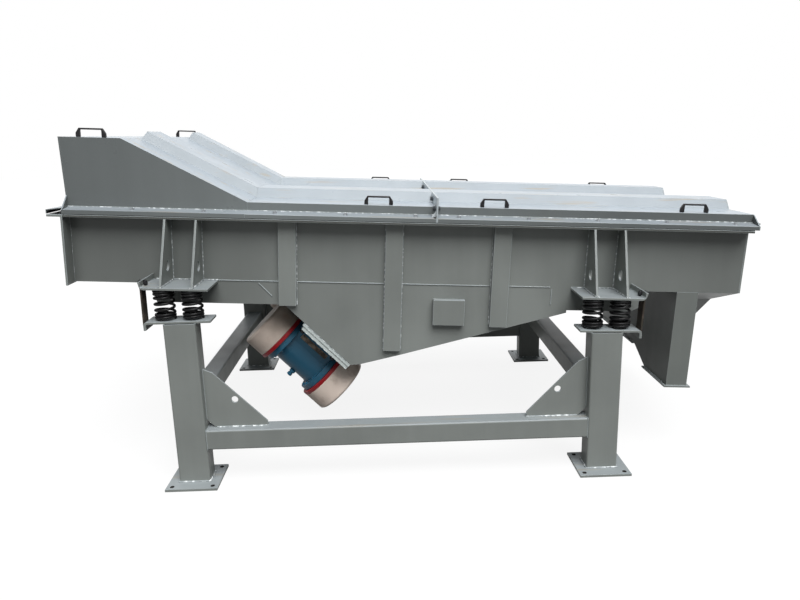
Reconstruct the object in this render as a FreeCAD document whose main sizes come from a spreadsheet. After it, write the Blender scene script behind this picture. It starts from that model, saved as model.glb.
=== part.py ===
import FreeCAD, Part
import math
import os
from types import SimpleNamespace

import Sketcher

# A linear vibrating screen on four spring corners, in millimetres.
# +X runs from the feed end to the discharge end, +Y to the far side, +Z up.
# The origin is on the floor at the centre of the four legs.
# The box leans down towards the discharge end. Its pieces are drawn in a frame of their own:
# X along the box, Y across it, and Z at right angles to the deck line.

os.makedirs("parts", exist_ok=True)
doc = FreeCAD.newDocument("VibratingScreen")
sheet = doc.addObject("Spreadsheet::Sheet", "sizes")

# Driving sizes. Every cell of the sheet holds a plain number of millimetres or degrees.

SIZES = {
    # base frame
    "leg_span_x": 2000, "leg_span_y": 1735, "leg_wide": 150, "leg_deep": 100, "leg_wall": 6,
    "tube_corner": 9,
    "foot_side": 250, "foot_thick": 12, "foot_hole": 18, "foot_hole_inset": 27.5,
    "beam_side": 100, "beam_wall": 5, "cross_beam_low": 175, "side_beam_low": 318,
    "web_thick": 10, "web_reach": 293, "web_top": 573, "web_shoulder": 45, "web_shoulder_drop": 20,
    "web_toe": 25, "web_clip": 40, "web_hole": 32, "web_hole_out": 142, "web_hole_up": 415,
    # spring seats on the legs
    "seat_thick": 11, "seat_out": 168, "seat_in_feed": 144, "seat_in_discharge": 126,
    "seat_front": 37.5, "seat_back": 80, "seat_lip": 40,
    "seat_angle_feed": 0, "seat_angle_discharge": 2,
    # springs, placed from the middle of the leg
    "spring_width": 100, "spring_wire": 13, "spring_pitch": 130, "spring_high": 146,
    "spring_outwards": 10, "spring_inwards": 15, "spring_turns": 7, "spring_closed_turns": 2,
    # travel straps
    "strap_wide": 60, "strap_thick": 8, "strap_short": 8,
    # box: where it stands and how it leans
    "deck_height": 1308, "incline": 3.04,
    "box_clear": 171, "side_thick": 8, "box_feed": 1527, "box_discharge": 1745,
    "flange_low": 83, "flange_top": 72, "flange_deep": 80, "flange_short": 5,
    "side_low": 395, "side_drop": 10, "trough_low": 500,
    "trough_feed_out": 140, "trough_discharge_out": 247,
    "trough_bevel_along": 38, "trough_bevel_up": 19,
    "hopper_foot_along": 185, "hopper_foot_down": 809, "hopper_heel_along": 132,
    "hopper_heel_down": 802, "hopper_knee_along": 63, "hopper_knee_down": 750,
    "hopper_end_along": 888, "hopper_end_down": 513,
    "pan_thick": 8,
    "feed_plate_low": 410, "feed_plate_thick": 10, "feed_lip_out": 73,
    "discharge_plate_thick": 8,
    "deck_thick": 12, "upper_deck_down": 150, "lower_deck_down": 330,
    # ribs and pads on the side plates
    "rib_wide": 85, "rib_deep": 30, "rib_wall": 6,
    "rib_feed_at": 496, "rib_feed_low": 500, "rib_middle_at": 20, "rib_middle_low": 722,
    "rib_discharge_at": 544, "rib_discharge_low": 588,
    "pad_along": 218, "pad_long": 156, "pad_top": 453, "pad_low": 582, "pad_deep": 35,
    # spring brackets on the box, placed from the middle of the leg
    "bracket_thick": 11, "bracket_feed_long": 309, "bracket_discharge_long": 298,
    "bracket_front": 37.5,
    "bracket_feed_out": 146, "bracket_discharge_out": 199,
    "bracket_lip": 38, "bracket_lip_angle": 15,
    "cheek_thick": 10, "cheek_half_gap": 72.5, "cheek_feed_in": 16, "cheek_discharge_out": 44,
    "cheek_short": 8.5, "cheek_hole": 50, "cheek_hole_down": 300, "cheek_hole_out": 84,
    # covers
    "sheet": 4, "wall_step": 10, "lip_root": 40, "lip_top": 50, "lip_low": 69,
    "ridge_high": 47, "ridge_front": 40, "ridge_back": 45, "ridge_start": 12,
    "near_ridge_in": 250, "near_ridge_wide": 290, "far_ridge_in": 83, "far_ridge_wide": 240,
    "far_strip_up": 12,
    "hood_top": 280, "hood_end_thick": 6, "hood_crest_long": 265, "hood_long": 842,
    "ear_high": 10, "window_half": 440, "window_low": 60, "window_top": 230,
    "joint_at": 217, "joint_thick": 8, "joint_high": 48,
    "cover_end_thick": 6, "cover_end_out": 18,
    "end_lip_out": 37, "end_lip_down": 48, "end_lip_thick": 6,
    # handles
    "handle_base": 138, "handle_bar": 108, "handle_high": 42, "handle_grip": 100,
    "handle_thick": 8, "handle_shoulder": 19, "handle_wide": 18,
    "handle_in": 29.5, "hood_handle_near_in": 122, "hood_handle_far_in": 187,
    "joint_handle_before": 277, "joint_handle_near_after": 283, "joint_handle_far_after": 253,
    "end_handle_near_in": 268, "end_handle_far_in": 335,
    # discharge chutes
    "chute_wall": 6, "chute_low": 893, "wide_long": 202, "narrow_long": 107,
    "narrow_outlet": 290,
    "wide_shoulder_in": 270, "wide_shoulder_down": 487, "wide_outlet": 623,
    "rim_out": 14, "rim_thick": 8,
    # vibrating motors, in a frame turned further down by motor_angle
    "motor_angle": 43, "motor_line": 397, "motor_centre": 172,
    "motor_cover_radius": 162, "motor_cover_bevel": 10, "motor_start": 35, "motor_end": 527,
    "motor_cover_long": 118, "ring_wide": 20, "ring_radius": 163,
    "motor_flange_radius": 146, "motor_flange_wide": 30, "motor_body_radius": 112,
    "mount_start": 100, "mount_end": 415, "mount_thick": 18, "mount_step": 10,
    "foot_pad_wide": 44, "foot_pad_thick": 34, "foot_pad_half": 150,
    "foot_pad_first": 140, "foot_pad_second": 354, "saddle_half": 100,
}

for row, (word, number) in enumerate(SIZES.items(), start=1):
    sheet.set("A%d" % row, word)
    sheet.set("B%d" % row, str(number))
    sheet.setAlias("B%d" % row, word)
doc.recompute()


class Term:
    """A size, or a sum of sizes: the text for an expression together with its number."""

    def __init__(self, text, number):
        self.text = text
        self.number = number

    def __add__(self, other):
        other = term(other)
        return Term("(%s + %s)" % (self.text, other.text), self.number + other.number)

    def __sub__(self, other):
        other = term(other)
        return Term("(%s - %s)" % (self.text, other.text), self.number - other.number)

    def __mul__(self, other):
        other = term(other)
        return Term("(%s * %s)" % (self.text, other.text), self.number * other.number)

    def __truediv__(self, other):
        other = term(other)
        return Term("(%s / %s)" % (self.text, other.text), self.number / other.number)

    def __radd__(self, other):
        return term(other) + self

    def __rsub__(self, other):
        return term(other) - self

    def __rmul__(self, other):
        return term(other) * self

    def __neg__(self):
        return Term("(0 - %s)" % self.text, -self.number)


def term(value):
    return value if isinstance(value, Term) else Term("%.6g" % value, float(value))


def cosine(angle):
    return Term("cos(%s)" % angle.text, math.cos(math.radians(angle.number)))


def sine(angle):
    return Term("sin(%s)" % angle.text, math.sin(math.radians(angle.number)))


def tangent(angle):
    return Term("tan(%s)" % angle.text, math.tan(math.radians(angle.number)))


def slope_angle(fall, run):
    return Term("atan(%s / %s)" % (fall.text, run.text),
                math.degrees(math.atan2(fall.number, run.number)))


def slant(run, fall):
    """The length of a slope from its run and its fall."""
    return Term("hypot(%s; %s)" % (run.text, fall.text), math.hypot(run.number, fall.number))


d = SimpleNamespace(**{word: Term("sizes." + word, float(sheet.get(word))) for word in SIZES})


# Building steps


def drive(thing, path, value):
    """Bind one property of thing to a size."""
    thing.setExpression(path, term(value).text)


def place(thing, x=0, y=0, z=0, turn=0, axis=(0, 1, 0)):
    """Stand thing at x, y, z, turned about axis."""
    x, y, z, turn = term(x), term(y), term(z), term(turn)
    thing.Placement = FreeCAD.Placement(
        FreeCAD.Vector(x.number, y.number, z.number),
        FreeCAD.Rotation(FreeCAD.Vector(*axis), turn.number))
    for path, value in (("x", x), ("y", y), ("z", z)):
        drive(thing, ".Placement.Base." + path, value)
    drive(thing, ".Placement.Rotation.Angle", turn)
    return thing


def lean(thing):
    """Put a piece that is drawn in the box's own frame on the leaning box."""
    return place(thing, z=d.deck_height, turn=d.incline)


def hang(thing):
    """Put a piece that is drawn in the motors' frame under the box."""
    return place(thing, z=d.deck_height, turn=d.incline + d.motor_angle)


def new_sketch(body, plane, start=0, tilt=0):
    """An empty sketch on one of the body's own planes, start away along its normal."""
    sketch = body.newObject("Sketcher::SketchObject", "Outline")
    origin_plane = [o for o in body.Origin.OriginFeatures if o.Role == plane][0]
    sketch.AttachmentSupport = [(origin_plane, "")]
    sketch.MapMode = "FlatFace"
    start, tilt = term(start), term(tilt)
    sketch.AttachmentOffset = FreeCAD.Placement(
        FreeCAD.Vector(0, 0, start.number),
        FreeCAD.Rotation(FreeCAD.Vector(1, 0, 0), tilt.number))
    drive(sketch, ".AttachmentOffset.Base.z", start)
    drive(sketch, ".AttachmentOffset.Rotation.Angle", tilt)
    return sketch


def pin_point(sketch, geometry, end, across, up):
    """Fix one point of the sketch by its two distances from the sketch's origin."""
    for kind, value in (("DistanceX", across), ("DistanceY", up)):
        value = term(value)
        index = sketch.addConstraint(Sketcher.Constraint(kind, -1, 1, geometry, end, value.number))
        drive(sketch, "Constraints[%d]" % index, value)


def draw_outline(sketch, points, closed=True):
    """Straight lines through the points, every point fixed by its sizes."""
    at = [FreeCAD.Vector(term(across).number, term(up).number, 0) for across, up in points]
    count = len(at) if closed else len(at) - 1
    first = sketch.GeometryCount
    for i in range(count):
        sketch.addGeometry(Part.LineSegment(at[i], at[(i + 1) % len(at)]), False)
    for i in range(count if closed else count - 1):
        sketch.addConstraint(
            Sketcher.Constraint("Coincident", first + i, 2, first + (i + 1) % count, 1))
    for i, (across, up) in enumerate(points[:count]):
        pin_point(sketch, first + i, 1, across, up)
    if not closed:
        pin_point(sketch, first + count - 1, 2, *points[-1])


def draw_circle(sketch, across, up, radius):
    across, up, radius = term(across), term(up), term(radius)
    centre = FreeCAD.Vector(across.number, up.number, 0)
    index = sketch.addGeometry(
        Part.Circle(centre, FreeCAD.Vector(0, 0, 1), radius.number), False)
    rule = sketch.addConstraint(Sketcher.Constraint("Radius", index, radius.number))
    drive(sketch, "Constraints[%d]" % rule, radius)
    pin_point(sketch, index, 3, across, up)


def prism(label, plane, points, start, depth, holes=(), tilt=0):
    """A plate or bar: an outline with round holes, padded along the plane's normal.

    The normal of XY_Plane is +Z, of YZ_Plane +X and of XZ_Plane -Y.
    """
    body = doc.addObject("PartDesign::Body", "Body")
    body.Label = label
    sketch = new_sketch(body, plane, start, tilt)
    draw_outline(sketch, points)
    for across, up, radius in holes:
        draw_circle(sketch, across, up, radius)
    pad = body.newObject("PartDesign::Pad", "Pad")
    pad.Profile = sketch
    pad.Length = term(depth).number
    drive(pad, "Length", depth)
    sketch.Visibility = False
    return body


def across_box(label, points, near, far):
    """A prism whose outline lies in the X-Z plane, from near to far along Y."""
    return prism(label, "XZ_Plane", points, -far, far - near)


def round_long_edges(body, direction, radius):
    """Round the edges of a body's last feature that run along direction."""
    doc.recompute()
    solid = body.Tip
    along = FreeCAD.Vector(*direction)
    names = ["Edge%d" % i for i, edge in enumerate(solid.Shape.Edges, start=1)
             if abs(edge.tangentAt(edge.FirstParameter).dot(along)) > 0.999]
    fillet = body.newObject("PartDesign::Fillet", "Corner")
    fillet.Base = (solid, names)
    fillet.Radius = radius.number
    drive(fillet, "Radius", radius)
    return body


def rectangle(x0, z0, x1, z1):
    return [(x0, z0), (x1, z0), (x1, z1), (x0, z1)]


def cut(label, base, tool):
    result = doc.addObject("Part::Cut", "Cut")
    result.Label = label
    result.Base = base
    result.Tool = tool
    return result


def join(label, pieces):
    """Weld pieces that touch into one solid."""
    result = doc.addObject("Part::MultiFuse", "Fuse")
    result.Label = label
    result.Shapes = pieces
    return result


def group(label, pieces):
    """Keep like pieces that do not touch together in one node."""
    result = doc.addObject("Part::Compound", "Group")
    result.Label = label
    result.Links = pieces
    return result


def mirrored(points):
    return [(-across, up) for across, up in points]


nodes = []


def keep(thing):
    """Count thing as a finished sub-part."""
    nodes.append(thing)
    return thing


CORNERS = [("front_feed", -1, -1), ("front_discharge", 1, -1),
           ("rear_feed", -1, 1), ("rear_discharge", 1, 1)]

leg_x = d.leg_span_x / 2
leg_y = d.leg_span_y / 2
leg_inner = leg_x - d.leg_wide / 2
beam_top = d.cross_beam_low + d.beam_side
seat_tilt = {-1: d.seat_angle_feed, 1: d.seat_angle_discharge}
spring_x = leg_x + d.spring_outwards
spring_y = leg_y - d.spring_inwards
box_half = leg_y - d.box_clear
flange_out = box_half + d.flange_deep
wall_out = box_half + d.wall_step
trough_feed = leg_x + d.trough_feed_out
trough_discharge = leg_x + d.trough_discharge_out


def bracket_height(x):
    """The height over the floor of the brackets' underside at x."""
    return d.deck_height - (d.side_low + x * sine(d.incline)) / cosine(d.incline)


# The legs are as long as the springs leave room for under the leaning box.
leg_top = {side: bracket_height(side * spring_x) - d.spring_high - d.seat_thick
           for side in (-1, 1)}
bracket_end = {-1: leg_x + d.bracket_feed_out, 1: leg_x + d.bracket_discharge_out}
flange_end = d.box_discharge - d.flange_short
cover_end = d.box_discharge + d.cover_end_out
chute_split = d.box_discharge - d.wide_long
narrow_start = chute_split - d.narrow_long
hood_foot = d.box_feed - d.hood_long


# Base frame


def foot_plate(name, side, row):
    half = d.foot_side / 2
    reach = half - d.foot_hole_inset
    holes = [(i * reach, j * reach, d.foot_hole / 2) for i in (-1, 1) for j in (-1, 1)]
    plate = prism("foot_" + name, "XY_Plane", rectangle(-half, -half, half, half), 0,
                  d.foot_thick, holes)
    keep(place(plate, side * leg_x, row * leg_y))


def leg(name, side, row):
    """A box-section leg with its top cut to the tilt of the spring seat."""
    half = d.leg_wide / 2
    fall = tangent(seat_tilt[side])
    top = leg_top[side]
    outer = across_box("LegOutside", [(-half, d.foot_thick), (half, d.foot_thick),
                                      (half, top - half * fall), (-half, top + half * fall)],
                       -d.leg_deep / 2, d.leg_deep / 2)
    round_long_edges(outer, (0, 0, 1), d.tube_corner)
    bore = half - d.leg_wall
    inner = across_box("LegInside", rectangle(-bore, d.foot_thick - 10, bore, top + 50),
                       d.leg_wall - d.leg_deep / 2, d.leg_deep / 2 - d.leg_wall)
    keep(place(cut("leg_" + name, outer, inner), side * leg_x, row * leg_y))


def cross_beam(label, row):
    """The front or rear tube between two legs."""
    low = d.cross_beam_low
    half = d.beam_side / 2
    wall = d.beam_wall
    outer = prism("BeamOutside", "YZ_Plane", rectangle(-half, low, half, beam_top),
                  -leg_inner, 2 * leg_inner)
    round_long_edges(outer, (1, 0, 0), d.tube_corner)
    inner = prism("BeamInside", "YZ_Plane",
                  rectangle(wall - half, low + wall, half - wall, beam_top - wall),
                  -leg_inner, 2 * leg_inner)
    keep(place(cut(label, outer, inner), 0, row * leg_y))


def side_beam(label, side):
    """The tube between the front and the rear leg of one end."""
    low = d.side_beam_low
    half = d.beam_side / 2
    wall = d.beam_wall
    reach = leg_y - d.leg_deep / 2
    outer = across_box("BeamOutside", rectangle(-half, low, half, low + d.beam_side),
                       -reach, reach)
    round_long_edges(outer, (0, 1, 0), d.tube_corner)
    inner = across_box("BeamInside",
                       rectangle(wall - half, low + wall, half - wall,
                                 low + d.beam_side - wall), -reach, reach)
    keep(place(cut(label, outer, inner), side * leg_x))


def corner_webs(label, row):
    """The two triangular plates between a cross beam and its legs."""
    outline = [(leg_inner, beam_top + d.web_clip), (leg_inner, d.web_top),
               (leg_inner - d.web_shoulder, d.web_top - d.web_shoulder_drop),
               (leg_inner - d.web_reach, beam_top + d.web_toe),
               (leg_inner - d.web_reach, beam_top), (leg_inner - d.web_clip, beam_top)]
    hole = (leg_inner - d.web_hole_out, d.web_hole_up, d.web_hole / 2)
    webs = []
    for points, at in ((outline, hole), (mirrored(outline), (-hole[0], hole[1], hole[2]))):
        web = prism("Web", "XZ_Plane", points, -d.web_thick / 2, d.web_thick, [at])
        webs.append(web)
    keep(place(group(label, webs), 0, row * leg_y))


def lower_seat(name, side, row):
    """The bent plate on a leg that the springs stand on."""
    lip = -(d.seat_lip - d.seat_thick)
    out = d.seat_out
    inner = {-1: d.seat_in_feed, 1: d.seat_in_discharge}[side]
    outline = [(-inner, 0), (out - d.seat_thick, 0), (out - d.seat_thick, lip), (out, lip),
               (out, d.seat_thick), (-inner, d.seat_thick)]
    if side < 0:
        outline = mirrored(outline)
    edges = sorted((row * (leg_y + d.seat_front), row * (leg_y - d.seat_back)),
                   key=lambda edge: edge.number)
    seat = across_box("seat_" + name, outline, edges[0], edges[1])
    keep(place(seat, side * leg_x, 0, leg_top[side], seat_tilt[side]))


# Springs: closed end turns lie on the seats, and the turns between them are open

COIL_STEPS = 12


def coil_path(x0, y0, bottom, top, radius, wire, turns, closed):
    """Points that climb one wire in each closed turn and the rest between them."""
    steps = COIL_STEPS * int(turns)
    points = []
    for i in range(steps + 1):
        turn = turns * i / steps
        x = x0 + radius * math.cos(2 * math.pi * turn)
        y = y0 + radius * math.sin(2 * math.pi * turn)
        low = bottom(x) + wire / 2
        high = top(x) - wire / 2
        step = closed * wire / (high - low)
        if turn < closed:
            rise = step * turn / closed
        elif turn > turns - closed:
            rise = 1 - step * (turns - turn) / closed
        else:
            rise = step + (1 - 2 * step) * (turn - closed) / (turns - 2 * closed)
        points.append(FreeCAD.Vector(x, y, low + (high - low) * rise))
    return points


def wire_ring(before, middle, after, radius):
    """An eight-sided ring round the wire at one point of its path."""
    along = (after - before).normalize()
    side = along.cross(FreeCAD.Vector(0, 0, 1)).normalize()
    up = side.cross(along)
    corners = [middle + side * (radius * math.cos(math.pi * k / 4))
               + up * (radius * math.sin(math.pi * k / 4)) for k in range(9)]
    return Part.makePolygon(corners)


def spring(x0, y0, side):
    """One compression spring between a leg's seat and the box's bracket."""
    radius = (d.spring_width - d.spring_wire).number / 2
    wire = d.spring_wire.number
    tilt = math.radians(seat_tilt[side].number)
    seat_top = leg_top[side].number + d.seat_thick.number / math.cos(tilt)

    def bottom(x):
        return seat_top - (x - side * leg_x.number) * math.tan(tilt)

    def top(x):
        return bracket_height(x).number

    path = coil_path(x0, y0, bottom, top, radius, wire,
                     d.spring_turns.number, d.spring_closed_turns.number)
    ends = [path[0] * 2 - path[1]] + path + [path[-1] * 2 - path[-2]]
    rings = [wire_ring(*ends[i:i + 3], wire / 2) for i in range(len(path))]
    coil = doc.addObject("Part::Feature", "Coil")
    coil.Shape = Part.makeLoft(rings, True, True)
    return coil


def spring_pair(name, side, row):
    pair = [spring(side * spring_x.number + half * d.spring_pitch.number / 2,
                   row * spring_y.number, side) for half in (-1, 1)]
    keep(group("springs_" + name, pair))


# Straps that limit the travel of the box


def floor_point(along, down):
    """The place over the floor of a point on the leaning box: across X and up Z."""
    return (along * cosine(d.incline) - down * sine(d.incline),
            d.deck_height - along * sine(d.incline) - down * cosine(d.incline))


def strap_outline(side):
    """A belt from the bracket's leaning lip down to the seat's hanging lip."""
    reach = d.bracket_lip - d.strap_short
    rise = reach * cosine(d.bracket_lip_angle)
    swing = reach * sine(d.bracket_lip_angle)
    tip_x, tip_z = floor_point(side * (bracket_end[side] + swing), d.side_low - rise)
    bend_x, bend_z = floor_point(side * bracket_end[side], d.side_low)
    fall = tangent(seat_tilt[side])
    lip_x = side * (leg_x + d.seat_out)
    lip_z = leg_top[side] + d.seat_thick - d.seat_out * fall
    low_z = lip_z - d.seat_lip
    low_x = lip_x - side * d.seat_lip * fall
    out = side * d.strap_thick
    inner = [(tip_x, tip_z), (bend_x, bend_z), (lip_x, lip_z), (low_x, low_z)]
    outer = [(x + out, z) for x, z in inner[::-1]]
    return inner + outer


def limit_straps():
    straps = []
    for name, side, row in CORNERS:
        middle = row * spring_y
        straps.append(across_box("Strap", strap_outline(side), middle - d.strap_wide / 2,
                                 middle + d.strap_wide / 2))
    keep(group("limit_straps", straps))


# Leaning box


def trough_outline():
    """The lower edge of the side plates, from the feed end to the discharge end."""
    hopper_top = d.hopper_foot_along + (d.hopper_foot_down - d.trough_low) / tangent(
        d.motor_angle)
    return [(-trough_feed, -d.side_low), (-trough_feed, -d.trough_low),
            (-hopper_top, -d.trough_low), (-d.hopper_foot_along, -d.hopper_foot_down),
            (-d.hopper_heel_along, -d.hopper_heel_down),
            (d.hopper_knee_along, -d.hopper_knee_down),
            (d.hopper_end_along, -d.hopper_end_down), (d.hopper_end_along, -d.trough_low),
            (trough_discharge - d.trough_bevel_along, -d.trough_low),
            (trough_discharge, d.trough_bevel_up - d.trough_low),
            (trough_discharge, -d.side_low)]


def side_plate(label, row):
    outline = [(-d.box_feed, -d.flange_low), (-d.box_feed, -d.side_low - d.side_drop)]
    outline += [(-trough_feed, -d.side_low - d.side_drop)] + trough_outline()[1:]
    outline += [(d.box_discharge, -d.side_low), (d.box_discharge, -d.flange_low)]
    edges = (-box_half, d.side_thick - box_half)
    if row > 0:
        edges = (box_half - d.side_thick, box_half)
    keep(lean(across_box(label, outline, *edges)))


def bottom_pan():
    """The bent sheet that closes the trough and the hopper between the side plates."""
    gauge = d.pan_thick
    low = trough_outline()
    shift = [(1, 1), (1, 1), (0.4, 1), (0.4, 1.2), (0, 1), (0, 1), (-1, 0.75), (-1, 1),
             (-0.5, 1), (-1, 0.5), (-1, 1)]
    high = [(x + gauge * i, z + gauge * j) for (x, z), (i, j) in zip(low, shift)]
    outline = [(-d.box_feed, -d.side_low)] + low + [(narrow_start, -d.side_low)]
    outline += [(narrow_start, gauge - d.side_low)] + high[::-1]
    outline += [(-d.box_feed, gauge - d.side_low)]
    inside = box_half - d.side_thick
    keep(lean(across_box("bottom_pan", outline, -inside, inside)))


def feed_end_plate():
    """The plate across the feed end, bent outwards along its top."""
    outside = -d.box_feed - d.feed_plate_thick
    lip = -d.box_feed - d.feed_lip_out
    outline = [(-d.box_feed, -d.feed_plate_low), (-d.box_feed, -d.flange_top),
               (lip, -d.flange_top), (lip, -d.flange_low), (outside, -d.flange_low),
               (outside, -d.feed_plate_low)]
    keep(lean(across_box("feed_end_plate", outline, -flange_out, flange_out)))


def discharge_end_plate():
    outline = rectangle(d.box_discharge, -d.side_low,
                        d.box_discharge + d.discharge_plate_thick, -d.flange_top)
    keep(lean(across_box("discharge_end_plate", outline, -box_half, box_half)))


def box_flange(label, row):
    """The bar along the top of a side plate that the covers are screwed to."""
    outline = rectangle(row * (box_half - d.side_thick), -d.flange_low,
                        row * flange_out, -d.flange_top)
    keep(lean(prism(label, "YZ_Plane", outline, -d.box_feed,
                    d.box_feed + flange_end)))


def deck(label, down, end):
    inside = box_half - d.side_thick
    outline = rectangle(-d.box_feed, -down, end, d.deck_thick - down)
    keep(lean(across_box(label, outline, -inside, inside)))


def rib_channel(middle, low, row):
    """A channel stood against a side plate with its open side to the plate."""
    half = d.rib_wide / 2
    wall = d.rib_wall
    skin = box_half
    front = skin + d.rib_deep
    outline = [(-half, skin), (-half, front), (half, front), (half, skin),
               (half - wall, skin), (half - wall, front - wall), (wall - half, front - wall),
               (wall - half, skin)]
    points = [(middle + x, row * y) for x, y in outline]
    return prism("Rib", "XY_Plane", points, -low, low - d.flange_low)


def ribs(label, row):
    spots = [(-d.rib_feed_at, d.rib_feed_low), (d.rib_middle_at, d.rib_middle_low),
             (d.rib_discharge_at, d.rib_discharge_low)]
    keep(lean(group(label, [rib_channel(at, low, row) for at, low in spots])))


def side_pads():
    outline = rectangle(d.pad_along, -d.pad_low, d.pad_along + d.pad_long, -d.pad_top)
    near = across_box("Pad", outline, -box_half - d.pad_deep, -box_half)
    far = across_box("Pad", outline, box_half, box_half + d.pad_deep)
    keep(lean(group("side_pads", [near, far])))


def spring_bracket(name, side, row):
    """The bent plate over a pair of springs with two cheeks up to the flange."""
    end = bracket_end[side]
    start = end - {-1: d.bracket_feed_long, 1: d.bracket_discharge_long}[side]
    rise, swing = cosine(d.bracket_lip_angle), sine(d.bracket_lip_angle)
    low = -d.side_low
    thick = d.bracket_thick
    outline = [(start, low), (end, low),
               (end + d.bracket_lip * swing, low + d.bracket_lip * rise),
               (end + d.bracket_lip * swing - thick * rise,
                low + d.bracket_lip * rise + thick * swing),
               (end - thick * tangent(d.bracket_lip_angle / 2), low + thick),
               (start, low + thick)]
    outline = [(side * x, z) for x, z in outline]
    front = leg_y + d.bracket_front
    edges = sorted((row * front, row * box_half), key=lambda edge: edge.number)
    plate = across_box("Plate", outline, edges[0], edges[1])
    cheek = [(box_half, thick - d.side_low), (front - d.cheek_short, thick - d.side_low),
             (flange_out, -d.flange_low), (box_half, -d.flange_low)]
    middle = {-1: d.cheek_feed_in - leg_x, 1: leg_x + d.cheek_discharge_out}[side]
    cheeks = [prism("Cheek", "YZ_Plane", [(row * y, z) for y, z in cheek],
                    middle + half * d.cheek_half_gap - d.cheek_thick / 2, d.cheek_thick,
                    [(row * (box_half + d.cheek_hole_out), -d.cheek_hole_down,
                      d.cheek_hole / 2)])
              for half in (-1, 1)]
    keep(lean(join("bracket_" + name, [plate] + cheeks)))


# Covers, folded from sheet


near_foot = d.near_ridge_in - wall_out
near_foot_end = near_foot + d.near_ridge_wide
far_foot_end = wall_out - d.far_ridge_in
far_foot = far_foot_end - d.far_ridge_wide


def ridge_line(rise, far):
    """The folds of a cover's top between its walls. The far strip stands up by far."""
    crest = rise + d.ridge_high
    return [(near_foot, rise), (near_foot + d.ridge_front, crest),
            (near_foot_end - d.ridge_back, crest), (near_foot_end, rise),
            (far_foot, rise), (far_foot + d.ridge_front, crest),
            (far_foot_end - d.ridge_back, crest), (far_foot_end, rise + far)]


def cover_section(rise, far, folds):
    """The whole folded sheet: lip, wall, top, wall and lip, with the sheet's thickness."""
    gauge = d.sheet
    lip = [(flange_out, -d.lip_low), (flange_out, -d.lip_top), (wall_out, -d.lip_root)]
    inner_lip = [(flange_out - gauge, -d.lip_low), (flange_out - gauge, -d.lip_top - gauge),
                 (wall_out - gauge, -d.lip_root - gauge)]
    inside = wall_out - gauge
    outer = mirrored(lip) + [(-wall_out, rise)] + folds + [(wall_out, rise + far)] + lip[::-1]
    inner = mirrored(inner_lip) + [(-inside, rise - gauge)]
    inner += [(y, z - gauge) for y, z in folds]
    inner += [(inside, rise + far - gauge)] + inner_lip[::-1]
    return outer + inner[::-1]


def lofted(label, stations):
    """A shape whose section changes evenly from one station to the next along X."""
    body = doc.addObject("PartDesign::Body", "Body")
    body.Label = label
    sketches = []
    for along, tilt, section in stations:
        sketch = new_sketch(body, "YZ_Plane", along, tilt)
        draw_outline(sketch, section)
        sketches.append(sketch)
    loft = body.newObject("PartDesign::AdditiveLoft", "Loft")
    loft.Profile = sketches[0]
    loft.Sections = sketches[1:]
    loft.Ruled = True
    return body


def closed_ridge(start, end, far):
    """A ridge welded on the hood's slope, its upper end cut square to the slope."""
    run = d.hood_long - d.hood_crest_long
    slope = slope_angle(d.hood_top, run)
    base = d.hood_top * (run - d.ridge_start) / run
    plane = d.hood_crest_long - d.box_feed + d.ridge_start - base * tangent(slope)
    upper = base / cosine(slope)
    crest = upper + d.ridge_high * cosine(slope)
    sunk = d.sheet / 2

    def outline(foot, top, far_up):
        return [(start, foot - sunk), (start, foot), (start + d.ridge_front, top),
                (end - d.ridge_back, top), (end, foot + far_up), (end, foot - sunk)]

    return lofted("Ridge", [(plane, slope, outline(upper, crest, term(0))),
                            (-hood_foot, 0, outline(term(0), d.ridge_high, far))])


def hood():
    """The raised cover of the feed end: a flat top, and a slope that two ridges climb."""
    top, low, far = d.hood_top, term(0), d.far_strip_up

    def folds(rise, up):
        return [(far_foot, rise), (far_foot_end, rise + up)]

    sheet_part = lofted("Sheet", [
        (-d.box_feed, -d.incline, cover_section(top, low, folds(top, low))),
        (d.hood_crest_long - d.box_feed, 0, cover_section(top, low, folds(top, low))),
        (-hood_foot, 0, cover_section(low, far, folds(low, far)))])
    ridges = [closed_ridge(near_foot, near_foot_end, low),
              closed_ridge(far_foot, far_foot_end, far)]
    keep(lean(join("hood", [sheet_part] + ridges)))


def hood_end():
    """The upright end of the hood, with the feed window and its own turned lip."""
    half = [(flange_out, -d.lip_low), (flange_out, -d.lip_top), (wall_out, d.ear_high),
            (wall_out, d.hood_top)]
    start = -d.box_feed - d.hood_end_thick
    body = prism("Upright", "YZ_Plane", mirrored(half) + half[::-1], start, d.hood_end_thick,
                 tilt=-d.incline)
    sketch = new_sketch(body, "YZ_Plane", start, -d.incline)
    draw_outline(sketch, rectangle(-d.window_half, d.window_low, d.window_half, d.window_top))
    window = body.newObject("PartDesign::Pocket", "Window")
    window.Profile = sketch
    window.Type = "ThroughAll"
    window.Midplane = True
    root = d.hood_end_thick / 2 - d.box_feed - d.hood_end_thick
    edge = -d.box_feed - d.feed_lip_out
    gauge = d.sheet
    outline = [(root, -d.lip_root), (edge, -d.lip_top), (edge, -d.lip_low),
               (edge + gauge, -d.lip_low), (edge + gauge, -d.lip_top - gauge),
               (root, -d.lip_root - gauge)]
    lip = across_box("Lip", outline, -flange_out, flange_out)
    keep(lean(join("hood_end", [body, lip])))


def cover(label, start, end):
    low, far = term(0), d.far_strip_up
    keep(lean(prism(label, "YZ_Plane", cover_section(low, far, ridge_line(low, far)), start,
                    end - start)))


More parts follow.
